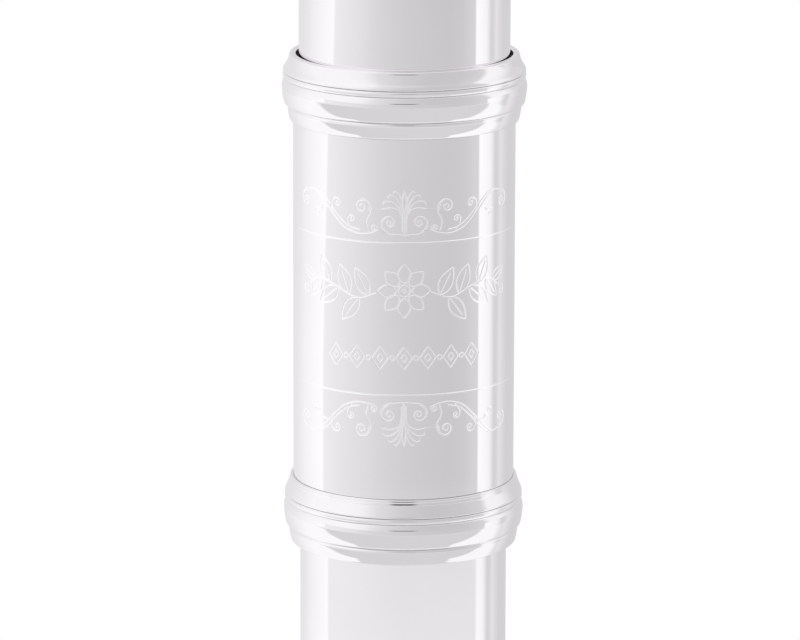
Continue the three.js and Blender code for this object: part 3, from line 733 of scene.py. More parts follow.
@dataclass(frozen=True)
class Hinge:
    """The turned parts of a hinge line, which runs along the bore at (x, h)."""

    x: float
    h: float
    tube_outer: float = 1.9
    tube_inner: float = 1.25
    steel: float = 1.0
    ball: float = 2.35
    gap: float = 0.1

    def tube(self, low: float, high: float) -> Shell:
        """A key's hinge tube with chamfered ends."""
        r, bore = self.tube_outer, self.tube_inner
        profile = softened([(bore, low), (r, low), (r, high), (bore, high), (bore, low)], 0.14)
        return lathe(profile, (self.x, self.h, 0), segments=28)

    def rod(self, low: float, high: float, r: float | None = None) -> Shell:
        """A steel with slightly domed ends."""
        r = r or self.steel
        profile = softened([(0, low), (r, low), (r, high), (0, high)], 0.2)
        return lathe(profile, (self.x, self.h, 0), segments=24)

    def screw_end(self, z: float, outwards: float) -> list[Shell]:
        """The slotted end of a steel, as two cheeks with the slot between them.

        Args:
            z: The end of the steel.
            outwards: 1 if the end faces +Z, -1 if it faces -Z.

        Returns:
            The two cheeks.
        """
        r, slot, depth, shells = self.steel + 0.2, 0.16, 0.55, []
        for side in (-1, 1):
            arc = np.linspace(math.asin(slot / r), math.pi - math.asin(slot / r), 12)
            outline = [(self.x + r * math.cos(a), self.h + side * r * math.sin(a)) for a in arc]
            ends = (z, z + outwards * depth)
            rows = np.array([[(px, ph, end) for px, ph in outline] for end in ends])
            shells.append(grid(rows, wrap_columns=True, caps=True))
        return shells

    def post(self, angle: float, z: float, ball: float = 0.0, rib: float = 10.3) -> Shell:
        """A turned post that leans from the rib to this line, with its ball.

        Args:
            angle: The angle of the post's foot round the bore.
            z: Its place along the bore.
            ball: The ball's radius, if it isn't this line's usual one.
            rib: The radius that its foot stands on.

        Returns:
            The post.
        """
        ball = ball or self.ball
        fx, fh = around(angle, rib)
        length = math.hypot(self.x - fx, self.h - fh)
        stem: Profile = [(0, 0), (1.75, 0), (1.75, 0.45), (1.35, 0.75), (1.3, 1.0), (0.95, 1.5)]
        stem += [(0.82, 0.5 * length), (0.95, length - ball - 0.35), (1.35, length - ball - 0.2)]
        stem += [(1.35, length - ball + 0.1)]
        start = math.radians(-52)
        dome = [
            (ball * math.cos(a), length + ball * math.sin(a)) for a in np.linspace(start, math.pi / 2, 12)
        ]
        return lathe(
            [*softened(stem, 0.12, 2), *dome], (fx, fh, z), (self.x - fx, self.h - fh, 0), segments=24
        )

    def spring(self, post_z: float, catch_z: float, side: float = 1.0) -> Shell:
        """A needle spring from a post to a key's catch, beside the hinge tube.

        Args:
            post_z: Where it is set in its post.
            catch_z: Where its tip rests.
            side: Which side of the line it runs, 1 or -1 across.

        Returns:
            The needle.
        """
        start = np.array((self.x, self.h - 1.9, post_z))
        end = np.array((self.x + side * 0.5, self.h - 2.35, catch_z))
        length = float(np.linalg.norm(end - start))
        profile: Profile = [(0, 0), (0.28, 0), (0.28, 0.3 * length), (0.1, length), (0, length + 0.1)]
        return lathe(profile, tuple(start), tuple(end - start), segments=10)

    def catch(self, z: float, side: float = 1.0) -> Shell:
        """The small hook on a key's tube that a needle spring presses."""
        profile: Profile = softened([(0, 0), (0.42, 0), (0.42, 1.5), (0.3, 1.8), (0, 1.8)], 0.1)
        return lathe(profile, (self.x + side * 0.1, self.h - 1.6, z), (side * 0.1, -1, 0), segments=12)


@dataclass(frozen=True)
class Cup:
    """A key cup, its pad and the tone hole under it."""

    hole_r: float
    z: float
    open_hole: bool = False
    rim: float = 12.1
    over: float = 2.0
    skirt: float = 12.7
    plate: float = 14.8
    top: float = 15.5
    wall: float = 0.45
    finger_r: float = 3.5

    @property
    def radius(self) -> float:
        """The cup's outer radius."""
        return self.hole_r + self.over

    def silver(self) -> list[Shell]:
        """The cup: a pressed dish with a stepped edge, and a ring round its finger hole if it has one."""
        r, wall, top = self.radius, self.wall, self.top
        side: Profile = [(r - wall, self.skirt), (r, self.skirt), (r, top - 0.75), (r - 0.35, top - 0.3)]
        if self.open_hole:
            f = self.finger_r
            profile = side + [(r - 0.9, top - 0.08), (f + 1.2, top - 0.2), (f + 0.9, top + 0.02)]
            profile += [(f + 0.25, top + 0.02), (f, top - 0.25), (f, self.skirt - 0.1)]
            profile += [(f + 0.45, self.skirt - 0.1), (f + 0.45, self.plate)]
            profile += [(r - wall, self.plate), (r - wall, self.skirt)]
        else:
            profile = [(0, self.plate), (r - wall, self.plate)] + side
            profile += [(r - 0.9, top - 0.05), (r * 0.55, top + 0.1), (r * 0.25, top + 0.22)]
            profile += [(0, top + 0.26)]
        return [lathe(softened(profile, 0.16), (0, 0, self.z), (0, 1, 0), segments=64)]

    def pad(self) -> list[Shell]:
        """The pad: a cushion of felt in skin, domed at its edge, with the faint seat of the rim in it."""
        r, face = self.radius - self.wall - 0.12, self.rim + 0.12
        seat = self.hole_r + 0.3
        inner = self.finger_r + 0.6 if self.open_hole else 0.0
        rows: Profile = [(inner, face + 0.1)] if self.open_hole else [(0, face)]
        rows += [(max(inner + 0.3, seat - 0.8), face), (seat - 0.35, face), (seat - 0.2, face + 0.06)]
        rows += [(seat + 0.2, face + 0.06), (seat + 0.35, face), (r - 0.5, face + 0.05), (r, face + 0.5)]
        rows += [(r, self.plate - 0.05), (inner, self.plate - 0.05)]
        if self.open_hole:
            rows.append(rows[0])
        return [lathe(softened(rows, 0.15), (0, 0, self.z), (0, 1, 0), segments=56)]

    def washer(self) -> list[Shell]:
        """The thin washer and screw that hold the pad of a closed cup, seen from below."""
        face = self.rim + 0.12
        washer = softened([(0, face - 0.12), (1.9, face - 0.12), (2.0, face + 0.3), (0, face + 0.3)], 0.06)
        head = softened([(0, face - 0.42), (0.9, face - 0.36), (1.15, face - 0.1), (0, face - 0.1)], 0.08)
        return [lathe(p, (0, 0, self.z), (0, 1, 0), segments=28) for p in (washer, head)]

    def arm(self, hinge: Hinge, width: float = 3.3, reach: float | None = None) -> Shell:
        """The key arm: it rises from the hinge tube and runs to a point over the cup.

        Args:
            hinge: The line that it is soldered to.
            width: Its width at the hinge tube.
            reach: Where it ends, as a share of the cup's radius; by the kind of cup if it is left out.

        Returns:
            The arm.
        """
        side, r, top = math.copysign(1, hinge.x), self.radius, self.top
        reach = reach if reach is not None else (0.56 if self.open_hole else 0.02)
        gap = abs(hinge.x) - r
        crest = top + 0.85
        return blade(
            [
                (hinge.x, hinge.h + 0.4, self.z, width, 2.4),
                (hinge.x - side * gap * 0.45, (hinge.h + crest) / 2 + 0.75, self.z, width * 0.96, 1.7),
                (side * (r + 0.1), crest, self.z, width * 0.9, 1.15),
                (side * r * 0.8, top + 0.45, self.z, width * 0.8, 0.8),
                (side * r * (0.4 + 0.6 * reach) * 0.9, top + 0.3, self.z, width * 0.55, 0.55),
                (side * r * reach, top + 0.2, self.z, 0.35, 0.3),
            ]
        )

    def chimney(self, tube: float, bore: float, wall: float = 0.55) -> Shell:
        """The drawn tone hole: the tube's own metal pulled up into a chimney with a rolled rim.

        Args:
            tube: The tube's outer radius.
            bore: The tube's inner radius.
            wall: The chimney's wall.

        Returns:
            The chimney, closed inside the tube's wall.
        """
        r, rim = self.hole_r, self.rim
        turn = np.linspace(0, 2 * math.pi, 72, endpoint=False)
        rows = [
            (wall + 1.25, tube, -0.03, 0.0),
            (wall + 0.7, tube, 0.07, 0.0),
            (wall + 0.3, tube, 0.3, 0.0),
            (wall + 0.05, tube, 0.75, 0.0),
            (wall, tube, 0.0, 0.75),
            (wall + 0.02, tube, -0.45, 1.0),
            (wall + 0.1, tube, -0.3, 1.0),
            (wall + 0.1, tube, -0.12, 1.0),
            (wall - 0.05, tube, 0.0, 1.0),
            (0.12, tube, 0.0, 1.0),
            (0.0, tube, -0.15, 1.0),
            (0.0, tube, -0.6, 1.0),
            (0.0, bore, 0.3, 0.0),
            (0.25, bore, 0.02, 0.0),
            (0.7, bore, 0.05, 0.0),
        ]
        points = []
        for out, base, lift, share in rows:
            rho = min(r + out, base - 0.12)
            x = rho * np.cos(turn)
            saddle = np.sqrt(np.maximum(base**2 - x**2, 0.2))
            h = (1 - share) * saddle + share * rim + lift
            points.append(np.stack([x, h, self.z + rho * np.sin(turn)], 1))
        return grid(np.array(points), wrap_rows=True, wrap_columns=True)


def strap(
    start: float, end: float, low: float, high: float, inner: float = 9.95, outer: float = 10.9
) -> Shell:
    """A rib: a strap soldered along the tube, with round edges.

    Args:
        start: Its first edge as an angle round the bore.
        end: Its last edge.
        low: Its lower end along the bore.
        high: Its upper end.
        inner: The radius of its underside.
        outer: The radius of its top.

    Returns:
        The strap.
    """
    angles = np.linspace(start, end, 7)
    edge = 0.25
    trim = math.degrees(edge / outer)
    arc = [around(a, inner) for a in angles[::-1]]
    arc += [around(start, outer - edge), around(start + trim, outer)]
    arc += [around(a, outer) for a in angles[1:-1]]
    arc += [around(end - trim, outer), around(end, outer - edge)]
    inset = [(x * 0.985, h * 0.985) for x, h in arc]
    ends = ((inset, low), (arc, low + edge), (arc, high - edge), (inset, high))
    rows = [[(x, h, z) for x, h in line] for line, z in ends]
    return grid(np.array(rows), wrap_columns=True, caps=True)


def tube_with_holes(name: str, shell: Shell, holes: Sequence[tuple[Cup, Station]]) -> Shell:
    """Cut tone holes through a tube.

    Args:
        name: A name for the work in progress.
        shell: The tube.
        holes: The tone holes, and where each stands.

    Returns:
        The cut tube as a shell.
    """
    work = bpy.data.objects.new(name + "_work", mesh_of(name, shell, Station()))
    cutters = []
    for cup, station in holes:
        r = cup.hole_r + 0.3
        plug = lathe([(0, 4.0), (r, 4.0), (r, 14.0), (0, 14.0)], (0, 0, cup.z), (0, 1, 0), 48)
        cutters.append(Shell(station_points(plug.points, station), plug.faces))
    cutter = bpy.data.objects.new(name + "_plugs", mesh_of(name + "_plugs", joined(cutters), Station()))
    for obj in (work, cutter):
        bpy.context.scene.collection.objects.link(obj)
    modifier = work.modifiers.new("holes", "BOOLEAN")
    modifier.object, modifier.operation, modifier.solver = cutter, "DIFFERENCE", "EXACT"
    cut = work.evaluated_get(bpy.context.evaluated_depsgraph_get()).to_mesh()
    points = np.array([tuple(v.co) for v in cut.vertices]) / MM
    faces = [tuple(p.vertices) for p in cut.polygons]
    for obj in (work, cutter):
        bpy.data.objects.remove(obj)
    return Shell(np.stack([points[:, 0], -points[:, 1], points[:, 2]], 1), faces)


def station_points(points: np.ndarray, station: Station) -> np.ndarray:
    """Points of a station as (x, h, z) points at the front."""
    placed = station.place(points) / MM
    return np.stack([placed[:, 0], -placed[:, 1], placed[:, 2]], 1)


def turned_to(shell: Shell, station: Station) -> Shell:
    """A shell of a station as a shell at the front, so that it can join others there."""
    return Shell(station_points(shell.points, station), shell.faces)


# ---- Engraving -----------------------------------------------------------------------------------


@dataclass(frozen=True)
class Ornament:
    """The engraver's strokes, laid out flat as (s, z): s round the barrel from its front, z along it."""

    step: float = 0.02  # spacing of the points along a stroke

    def dense(self, points: Sequence[Sequence[float]] | np.ndarray, smooth: bool = True) -> np.ndarray:
        """A stroke through points, resampled at an even spacing."""
        line = smooth_line(points, 12) if smooth else np.array(points, float)
        length = np.concatenate([[0], np.cumsum(np.linalg.norm(np.diff(line, axis=0), axis=1))])
        at = np.linspace(0, length[-1], max(3, int(length[-1] / self.step)))
        return np.stack([np.interp(at, length, line[:, k]) for k in (0, 1)], 1)

    def spiral(
        self, s: float, z: float, r0: float, r1: float, start: float, turns: float
    ) -> np.ndarray:
        """A volute.

        Args:
            s: Its centre round the barrel.
            z: Its centre along the barrel.
            r0: Its outer radius.
            r1: Its inner radius.
            start: The angle where it starts, in degrees.
            turns: How far it winds, negative for clockwise.

        Returns:
            Points from its outer end to its eye.
        """
        t = np.linspace(0, 1, max(16, int(abs(turns) * 28)))
        radius = r0 * (r1 / r0) ** (t**0.9)
        angle = math.radians(start) + t * turns * 2 * math.pi
        return np.stack([s + radius * np.cos(angle), z + radius * np.sin(angle)], 1)

    def border(self) -> list[np.ndarray]:
        """A scroll border, 4 mm high, that stands on z = 0: a palmette between running scrolls."""
        half: list[np.ndarray] = []
        volute = np.vstack([[(0.14, 0.12)], self.spiral(1.42, 1.3, 1.2, 0.12, -112, 1.95)])
        half.append(volute)
        half.append(self.spiral(1.42, 1.3, 0.92, 0.3, -80, 1.15))
        half.append(self.dense([(0.2, 0.5), (0.2, 1.5), (0.3, 2.1), (0.62, 2.5), (1.3, 2.72), (2.05, 2.62)]))
        half.append(self.dense([(0.2, 2.1), (0.62, 2.85), (1.25, 3.3), (1.85, 3.32), (2.02, 3.08)]))
        half.append(self.dense([(0.16, 2.2), (0.42, 3.05), (0.85, 3.7), (1.35, 3.92), (1.56, 3.74)]))
        half.append(self.dense([(0.1, 2.3), (0.22, 3.2), (0.48, 3.95), (0.84, 4.28), (1.02, 4.16)]))
        half.append(self.spiral(2.95, 0.75, 0.4, 0.1, 200, -1.25))
        # The running scroll: it dips along the line, climbs to the next volute and throws off curls.
        wave = [(2.55, 0.6), (3.3, 0.3), (4.6, 0.2), (6.0, 0.7)]
        wave += [(7.2, 1.75), (8.3, 2.85), (9.5, 3.7), (10.6, 3.6)]
        half.append(self.dense(wave))
        half.append(self.dense([(4.3, 0.52), (5.5, 0.82), (6.7, 1.72), (7.9, 2.95), (9.0, 3.75)]))
        half.append(self.spiral(11.0, 2.55, 1.12, 0.14, 108, -1.7))
        half.append(self.spiral(11.0, 2.55, 0.86, 0.34, 100, -1.0))
        half.append(self.spiral(4.15, 2.75, 1.1, 0.14, 215, -1.75))
        half.append(self.spiral(4.15, 2.75, 0.82, 0.34, 200, -1.1))
        half.append(self.dense([(3.25, 2.12), (3.5, 1.75), (3.62, 1.2), (3.45, 0.5)]))
        half.append(self.spiral(5.15, 1.5, 0.5, 0.1, -30, 1.35))
        half.append(self.dense([(5.58, 1.25), (5.5, 0.95), (5.1, 0.5)]))
        half.append(self.spiral(6.75, 2.85, 0.72, 0.1, -20, 1.5))
        half.append(self.dense([(7.43, 2.6), (7.5, 2.25), (7.25, 1.9)]))
        half.append(self.spiral(9.2, 1.6, 0.62, 0.1, 150, -1.45))
        half.append(self.dense([(8.66, 1.91), (8.4, 2.25), (8.0, 2.3)]))
        strokes = [self.dense(line, smooth=False) for line in half]
        strokes += [line * (-1, 1) for line in strokes]
        strokes.append(self.dense([(0, 0.15), (0, 2.1)], smooth=False))
        strokes.append(self.loop(0, 2.2, 90, 2.15, 0.2))
        return strokes

    def loop(self, s: float, z: float, angle: float, length: float, half_width: float) -> np.ndarray:
        """A pointed leaf's outline.

        Args:
            s: Its base round the barrel.
            z: Its base along the barrel.
            angle: Where it points, in degrees from the +s direction.
            length: From base to tip.
            half_width: Half its width.

        Returns:
            The closed outline.
        """
        t = np.linspace(0, 1, 24)
        bulge = half_width * np.sin(math.pi * t**0.85) ** 0.9
        outline = np.vstack([np.stack([t * length, bulge], 1), np.stack([t * length, -bulge], 1)[::-1]])
        c, n = math.cos(math.radians(angle)), math.sin(math.radians(angle))
        along, across = outline.T
        turned = np.stack([s + along * c - across * n, z + along * n + across * c], 1)
        return self.dense(turned, smooth=False)

    def spray(self) -> list[np.ndarray]:
        """A flower with a leafy branch to each side, centred on z = 0."""
        strokes: list[np.ndarray] = []
        for k in range(8):
            strokes.append(self.loop(*(0.72 * np.array(around(45 * k, 1))), 90 - 45 * k, 1.85, 0.62))
        strokes.append(self.dense(self.spiral(0, 0, 0.55, 0.55, 0, 1), smooth=False))
        strokes.append(self.dense(self.spiral(0, 0, 0.18, 0.18, 0, 1), smooth=False))
        stem = smooth_line([(2.7, -0.2), (4.6, -0.75), (6.8, 0.1), (8.8, 0.55), (10.6, -0.35)], 10)
        right = [self.dense(stem, smooth=False)]
        leaves = [
            (4, 62, 2.9, 0.68), (9, -52, 2.9, 0.7), (14, 70, 2.9, 0.72), (19, -38, 2.9, 0.7),
            (24, 66, 2.6, 0.64), (29, -50, 2.5, 0.6), (34, 30, 2.1, 0.5),
        ]  # fmt: skip
        for index, lean, length, width in leaves:
            s, z = stem[index]
            right.append(self.loop(s, z, lean, length, width))
            tip = math.radians(lean)
            reach = [length * share for share in (0.1, 0.45, 0.78)]
            right.append(self.dense([(s + r * math.cos(tip), z + r * math.sin(tip)) for r in reach]))
        right.append(self.spiral(11.0, -0.95, 0.72, 0.1, 125, -1.4))
        return strokes + right + [line * (-1, 1) for line in right]

    def lozenges(self) -> list[np.ndarray]:
        """A row of lozenges with a bead between each two, centred on z = 0."""
        strokes: list[np.ndarray] = []
        for k in range(-3, 4):
            s = 2.3 * k
            for wide, tall in ((0.8, 1.1), (0.3, 0.42)):
                corners = [(s - wide, 0), (s, tall), (s + wide, 0), (s, -tall), (s - wide, 0)]
                strokes.append(self.dense(corners, smooth=False))
        for k in range(-3, 3):
            strokes.append(self.dense(self.spiral(2.3 * (k + 0.5), 0, 0.22, 0.22, 0, 1), smooth=False))
        return strokes


@dataclass(frozen=True)
class EngravedSleeve:
    """The barrel's sleeve, with real grooves cut round its front."""

    radius: float = 10.55
    inner: float = 10.12
    low: float = 443.9
    high: float = 490.4
    line_low: float = 460.03
    line_high: float = 474.67
    spray_z: float = 470.05
    lozenge_z: float = 463.6
    border_gap: float = 0.6  # between a line and its border
    front: float = 84.0  # half the engraved stretch, in degrees
    groove: float = 0.1  # half the width of a cut
    depth: float = 0.03
    spacing: float = 0.06

    def strokes(self) -> list[np.ndarray]:
        """Every stroke on the sleeve, as (s, z) with z in the row frame."""
        work = Ornament()
        reach = math.radians(72) * self.radius
        lines = [
            work.dense([(-reach, z), (reach, z)], smooth=False) for z in (self.line_low, self.line_high)
        ]
        lines += [line + (0, self.line_high + self.border_gap) for line in work.border()]
        lines += [line * (1, -1) + (0, self.line_low - self.border_gap) for line in work.border()]
        lines += [line + (0, self.spray_z) for line in work.spray()]
        lines += [line + (0, self.lozenge_z) for line in work.lozenges()]
        return lines

    def layout(self, strokes: list[np.ndarray]) -> np.ndarray:
        """Points for the mesh: rows along each stroke, and a coarse net between them.

        Args:
            strokes: The strokes, evenly sampled.

        Returns:
            The points as (s, z).
        """
        limit = math.radians(self.front) * self.radius
        columns = np.linspace(-limit, limit, 57)
        rows = np.linspace(self.low, self.high, 31)
        kept = [(s, z) for s in columns for z in (self.low, self.high)]
        kept += [(s, z) for z in rows[1:-1] for s in (-limit, limit)]
        every = max(1, round(self.spacing / Ornament().step))
        cell, taken = self.spacing * 0.6, set()
        offsets = [side * self.groove * share for share in (0.0, 1.0, 0.5, 1.5) for side in (1, -1)][1:]
        ribbons = [[] for _ in offsets]
        for line in strokes:
            ahead = np.gradient(line, axis=0)
            ahead /= np.maximum(np.linalg.norm(ahead, axis=1), 1e-9)[:, None]
            side = np.stack([-ahead[:, 1], ahead[:, 0]], 1)
            for ribbon, offset in zip(ribbons, offsets):
                ribbon.append((line + side * offset)[::every])
        for ribbon in ribbons:
            for s, z in np.vstack(ribbon):
                key = (round(s / cell), round(z / cell))
                if key not in taken and abs(s) < limit - 0.2:
                    taken.add(key)
                    kept.append((s, z))
        near = KDTree(len(kept))
        for i, (s, z) in enumerate(kept):
            near.insert((s, z, 0), i)
        near.balance()
        for i, s in enumerate(np.linspace(-limit, limit, 57)[1:-1]):
            for z in np.arange(self.low + 0.35 + (i % 2) * 0.3, self.high - 0.2, 0.6):
                if near.find((s, z, 0))[2] > 0.3:
                    kept.append((s, z))
        return np.array(kept)

    def carve(
        self, flat: np.ndarray, strokes: list[np.ndarray]
    ) -> tuple[np.ndarray, np.ndarray, np.ndarray]:
        """How deep the cut is at each point, and how steep.

        Args:
            flat: Points as (s, z).
            strokes: The strokes.

        Returns:
            The depth, the slope as (ds, dz), and the distance to the nearest stroke.
        """
        samples = np.vstack(strokes)
        tree = KDTree(len(samples))
        for i, (s, z) in enumerate(samples):
            tree.insert((s, z, 0), i)
        tree.balance()
        depth, slope, distance = np.zeros(len(flat)), np.zeros((len(flat), 2)), np.zeros(len(flat))
        for i, (s, z) in enumerate(flat):
            (ns, nz, _), _, d = tree.find((s, z, 0))
            distance[i] = d
            if d >= self.groove * 0.99:
                continue
            share = d / self.groove
            depth[i] = self.depth * (1 - share**2) ** 2
            steep = self.depth * 4 * share * (1 - share**2) / self.groove
            if d > 1e-6:
                slope[i] = steep * (s - ns) / d, steep * (z - nz) / d
        return depth, slope, distance

    def build(self) -> bpy.types.Object:
        """Make the sleeve."""
        strokes = self.strokes()
        flat = self.layout(strokes)
        points, _, faces, *_ = delaunay_2d_cdt([Vector(p) for p in flat], [], [], 0, 1e-7)
        flat = np.array([tuple(p) for p in points])
        depth, slope, distance = self.carve(flat, strokes)
        angle = flat[:, 0] / self.radius
        r = self.radius - depth
        front = np.stack([r * np.sin(angle), r * np.cos(angle), flat[:, 1]], 1)
        rows = np.linspace(self.low, self.high, 31)
        back_turn = np.radians(np.linspace(self.front, 360 - self.front, 80))
        circle = np.stack([np.sin(back_turn), np.cos(back_turn)], 1) * self.radius
        back = np.array([[(x, h, z) for x, h in circle] for z in rows])
        corners = [(self.radius, self.low), (self.inner, self.low)]
        corners += [(self.inner, self.high), (self.radius, self.high)]
        inner = lathe(corners, segments=120)
        shell = joined([Shell(front, [tuple(f) for f in faces]), grid(back), inner])
        piece = add_piece("barrel_sleeve_engraved", shell, Finish.SILVER, "barrel_sleeve", weighted=False)
        piece.data.materials.append(Finish.CUT.material())
        self.shade(piece, flat, slope, distance)
        return piece

    def shade(
        self, piece: bpy.types.Object, flat: np.ndarray, slope: np.ndarray, distance: np.ndarray
    ) -> None:
        """Give the sleeve its true normals, and its cuts their own finish.

        Args:
            piece: The sleeve.
            flat: The engraved stretch's points as (s, z).
            slope: The slope at each.
            distance: The distance to the nearest stroke at each.
        """
        tree = KDTree(len(flat))
        for i, (s, z) in enumerate(flat):
            tree.insert((s, z, 0), i)
        tree.balance()
        mesh = piece.data
        normals, cut = {}, {}
        for vertex in mesh.vertices:
            x, y, z = vertex.co / MM
            turn = math.atan2(x, -y)
            if math.hypot(x, y) < self.inner + 0.1:
                continue
            radial = np.array((math.sin(turn), -math.cos(turn), 0))
            _, nearest, d = tree.find((turn * self.radius, z, 0))
            if d < 0.01:
                across = np.array((math.cos(turn), math.sin(turn), 0))
                # The surface falls towards a stroke, so its normal leans to the stroke.
                radial = radial - slope[nearest][0] * across - slope[nearest][1] * np.array((0, 0, 1.0))
                cut[vertex.index] = distance[nearest] < self.groove * 1.02
            normals[vertex.index] = radial / np.linalg.norm(radial)
        corner = np.array([tuple(n.vector) for n in mesh.corner_normals])
        for face in mesh.polygons:
            outside = all(v in normals for v in face.vertices) and abs(face.normal.z) < 0.9
            if not outside:
                continue
            for loop in face.loop_indices:
                corner[loop] = normals[mesh.loops[loop].vertex_index]
            if all(cut.get(v, False) for v in face.vertices):
                face.material_index = 1
        mesh.normals_split_custom_set(corner.tolist())


# ---- Sub-assemblies ------------------------------------------------------------------------------


@dataclass(frozen=True)
class Barrel:
    """The sleeve that holds the head joint, between two turned rings."""

    bottom: float = 443.5
    top: float = 490.9
    tube: float = 9.9
    socket: float = 10.12
    gap_outer: float = 10.26
    ring_height: float = 6.4
    segments: int = 192

    def ring(self, base: float, start: float, low: float, crest: float, top: Profile) -> Profile:
        """The outline of a ring: a low bead, a broad band, a fine step, and a hollow flare up to the lip.

        Args:
            base: The ring's lower edge.
            start: The radius where its low bead starts.
            low: The radius of the low bead.
            crest: The radius of the broad band.
            top: The outline over the fine step, with heights over the lower edge.

        Returns:
            The outline, read upwards.
        """
        bead: Profile = [(start, 0.0), (low - 0.24, 0.05), (low - 0.16, 0.2), (low - 0.08, 0.55)]
        bead += [(low - 0.02, 0.95), (low + 0.01, 1.3), (low - 0.03, 1.46), (low - 0.09, 1.53)]
        bead += [(low - 0.12, 1.55), (low - 0.06, 1.58)]
        band: Profile = [(crest - 0.28, 1.66), (crest - 0.2, 1.78), (crest - 0.13, 2.1), (crest - 0.06, 2.55)]
        band += [(crest - 0.01, 3.0), (crest, 3.2), (crest - 0.03, 3.5), (crest - 0.1, 3.76)]
        band += [(crest - 0.2, 3.98), (crest - 0.28, 4.05)]
        step: Profile = [(crest - 0.3, 4.08), (crest - 0.2, 4.12), (crest - 0.12, 4.22), (crest - 0.1, 4.4)]
        step += [(crest - 0.14, 4.56), (crest - 0.2, 4.62), (crest - 0.22, 4.64)]
        outline = [
            *smooth_line(bead, 5).tolist(),
            *smooth_line(band, 6).tolist(),
            *smooth_line(step, 5).tolist(),
            *smooth_line(top, 5).tolist(),
        ]
        return [(r, base + z) for r, z in outline]

    def groove(self, radius: float, z: float, half: float = 0.014) -> Shell:
        """A thin ring of painted shade that sits in a groove."""
        r = radius
        rows = [(r - 0.06, z - half), (r + 0.03, z - half), (r + 0.03, z + half), (r - 0.06, z + half)]
        return lathe([*rows, rows[0]], segments=self.segments)

    def build(self) -> None:
        """Make the sleeve and both rings."""
        EngravedSleeve().build()
        b, t = self.bottom, self.top - self.ring_height
        seat = 10.5
        flare: Profile = [(11.24, 4.66), (11.34, 4.72), (11.36, 4.82), (11.26, 5.1)]
        flare += [(11.12, 5.45), (11.0, 5.76)]
        flare += [(10.94, 5.88), (10.95, 5.92), (10.939, 5.97), (10.925, 6.03), (10.91, 6.09), (10.895, 6.15)]
        flare += [(10.86, 6.18), (10.865, 6.21), (10.854, 6.26), (10.841, 6.31), (10.829, 6.36)]
        flare += [(10.76, 6.395), (10.64, 6.4)]
        lower = self.ring(b, 10.28, 10.98, 11.48, flare)
        foot = [(self.tube + 0.04, b + 0.04), (10.1, b), (10.28, b)]
        back = [(seat, b + self.ring_height), (seat, b + 0.9), (self.tube + 0.04, b + 0.9)]
        shell = lathe([*foot, *lower, *back, foot[0]], segments=self.segments)
        add_piece("barrel_ring_lower_turned", shell, Finish.SILVER, "barrel_lower_ring", sharp=60)
        flare = [(11.36, 4.66), (11.47, 4.72), (11.5, 4.82), (11.42, 5.02), (11.22, 5.32), (11.04, 5.7)]
        flare += [(10.93, 6.1), (10.89, 6.26), (10.83, 6.35), (10.74, 6.385)]
        upper = self.ring(t, 10.62, 11.06, 11.62, flare)
        lip = [(10.5, self.top), (10.34, self.top - 0.005), (10.28, self.top - 0.06)]
        lip += [(self.gap_outer, self.top - 0.2), (self.gap_outer, self.top - 1.4)]
        lip += [(seat, self.top - 1.5), (seat, t)]
        shell = lathe([(seat, t), *upper, *lip], segments=self.segments)
        add_piece("barrel_ring_upper_turned", shell, Finish.SILVER, "barrel_upper_ring", sharp=60)
        fine, finest = 0.012, 0.007
        # Thin grey rings of painted shade in the rings' grooves and at their joints with the tubes and sleeve
        shade_lines = [
            self.groove(10.54, t - 0.02, fine),
            self.groove(10.93, t + 1.56),
            self.groove(11.305, t + 4.075, finest),
            self.groove(11.37, t + 4.655),
            self.groove(self.tube, b + 0.02, 0.03),
            self.groove(10.85, b + 1.56),
            self.groove(11.165, b + 4.075, finest),
            self.groove(11.24, b + 4.655),
            self.groove(10.54, b + 6.41, 0.008),
        ]
        add_piece("barrel_groove_painted_shade", shade_lines, Finish.RESIDUE, body="body_joint")
        # A near-black ring of painted shade down in the gap of the upper ring's socket mouth
        inner, outer, top = self.socket - 0.09, self.gap_outer - 0.015, self.top
        shade_ring = [(inner, top - 1.4), (outer, top - 1.4), (outer, top - 0.16), (outer - 0.02, top - 0.16)]
        shade_ring += [(outer - 0.02, top - 1.2), (inner, top - 1.2), (inner, top - 1.4)]
        shell = lathe(shade_ring, segments=self.segments)
        add_piece("barrel_socket_painted_shade", shell, Finish.TARNISH, body="body_joint")


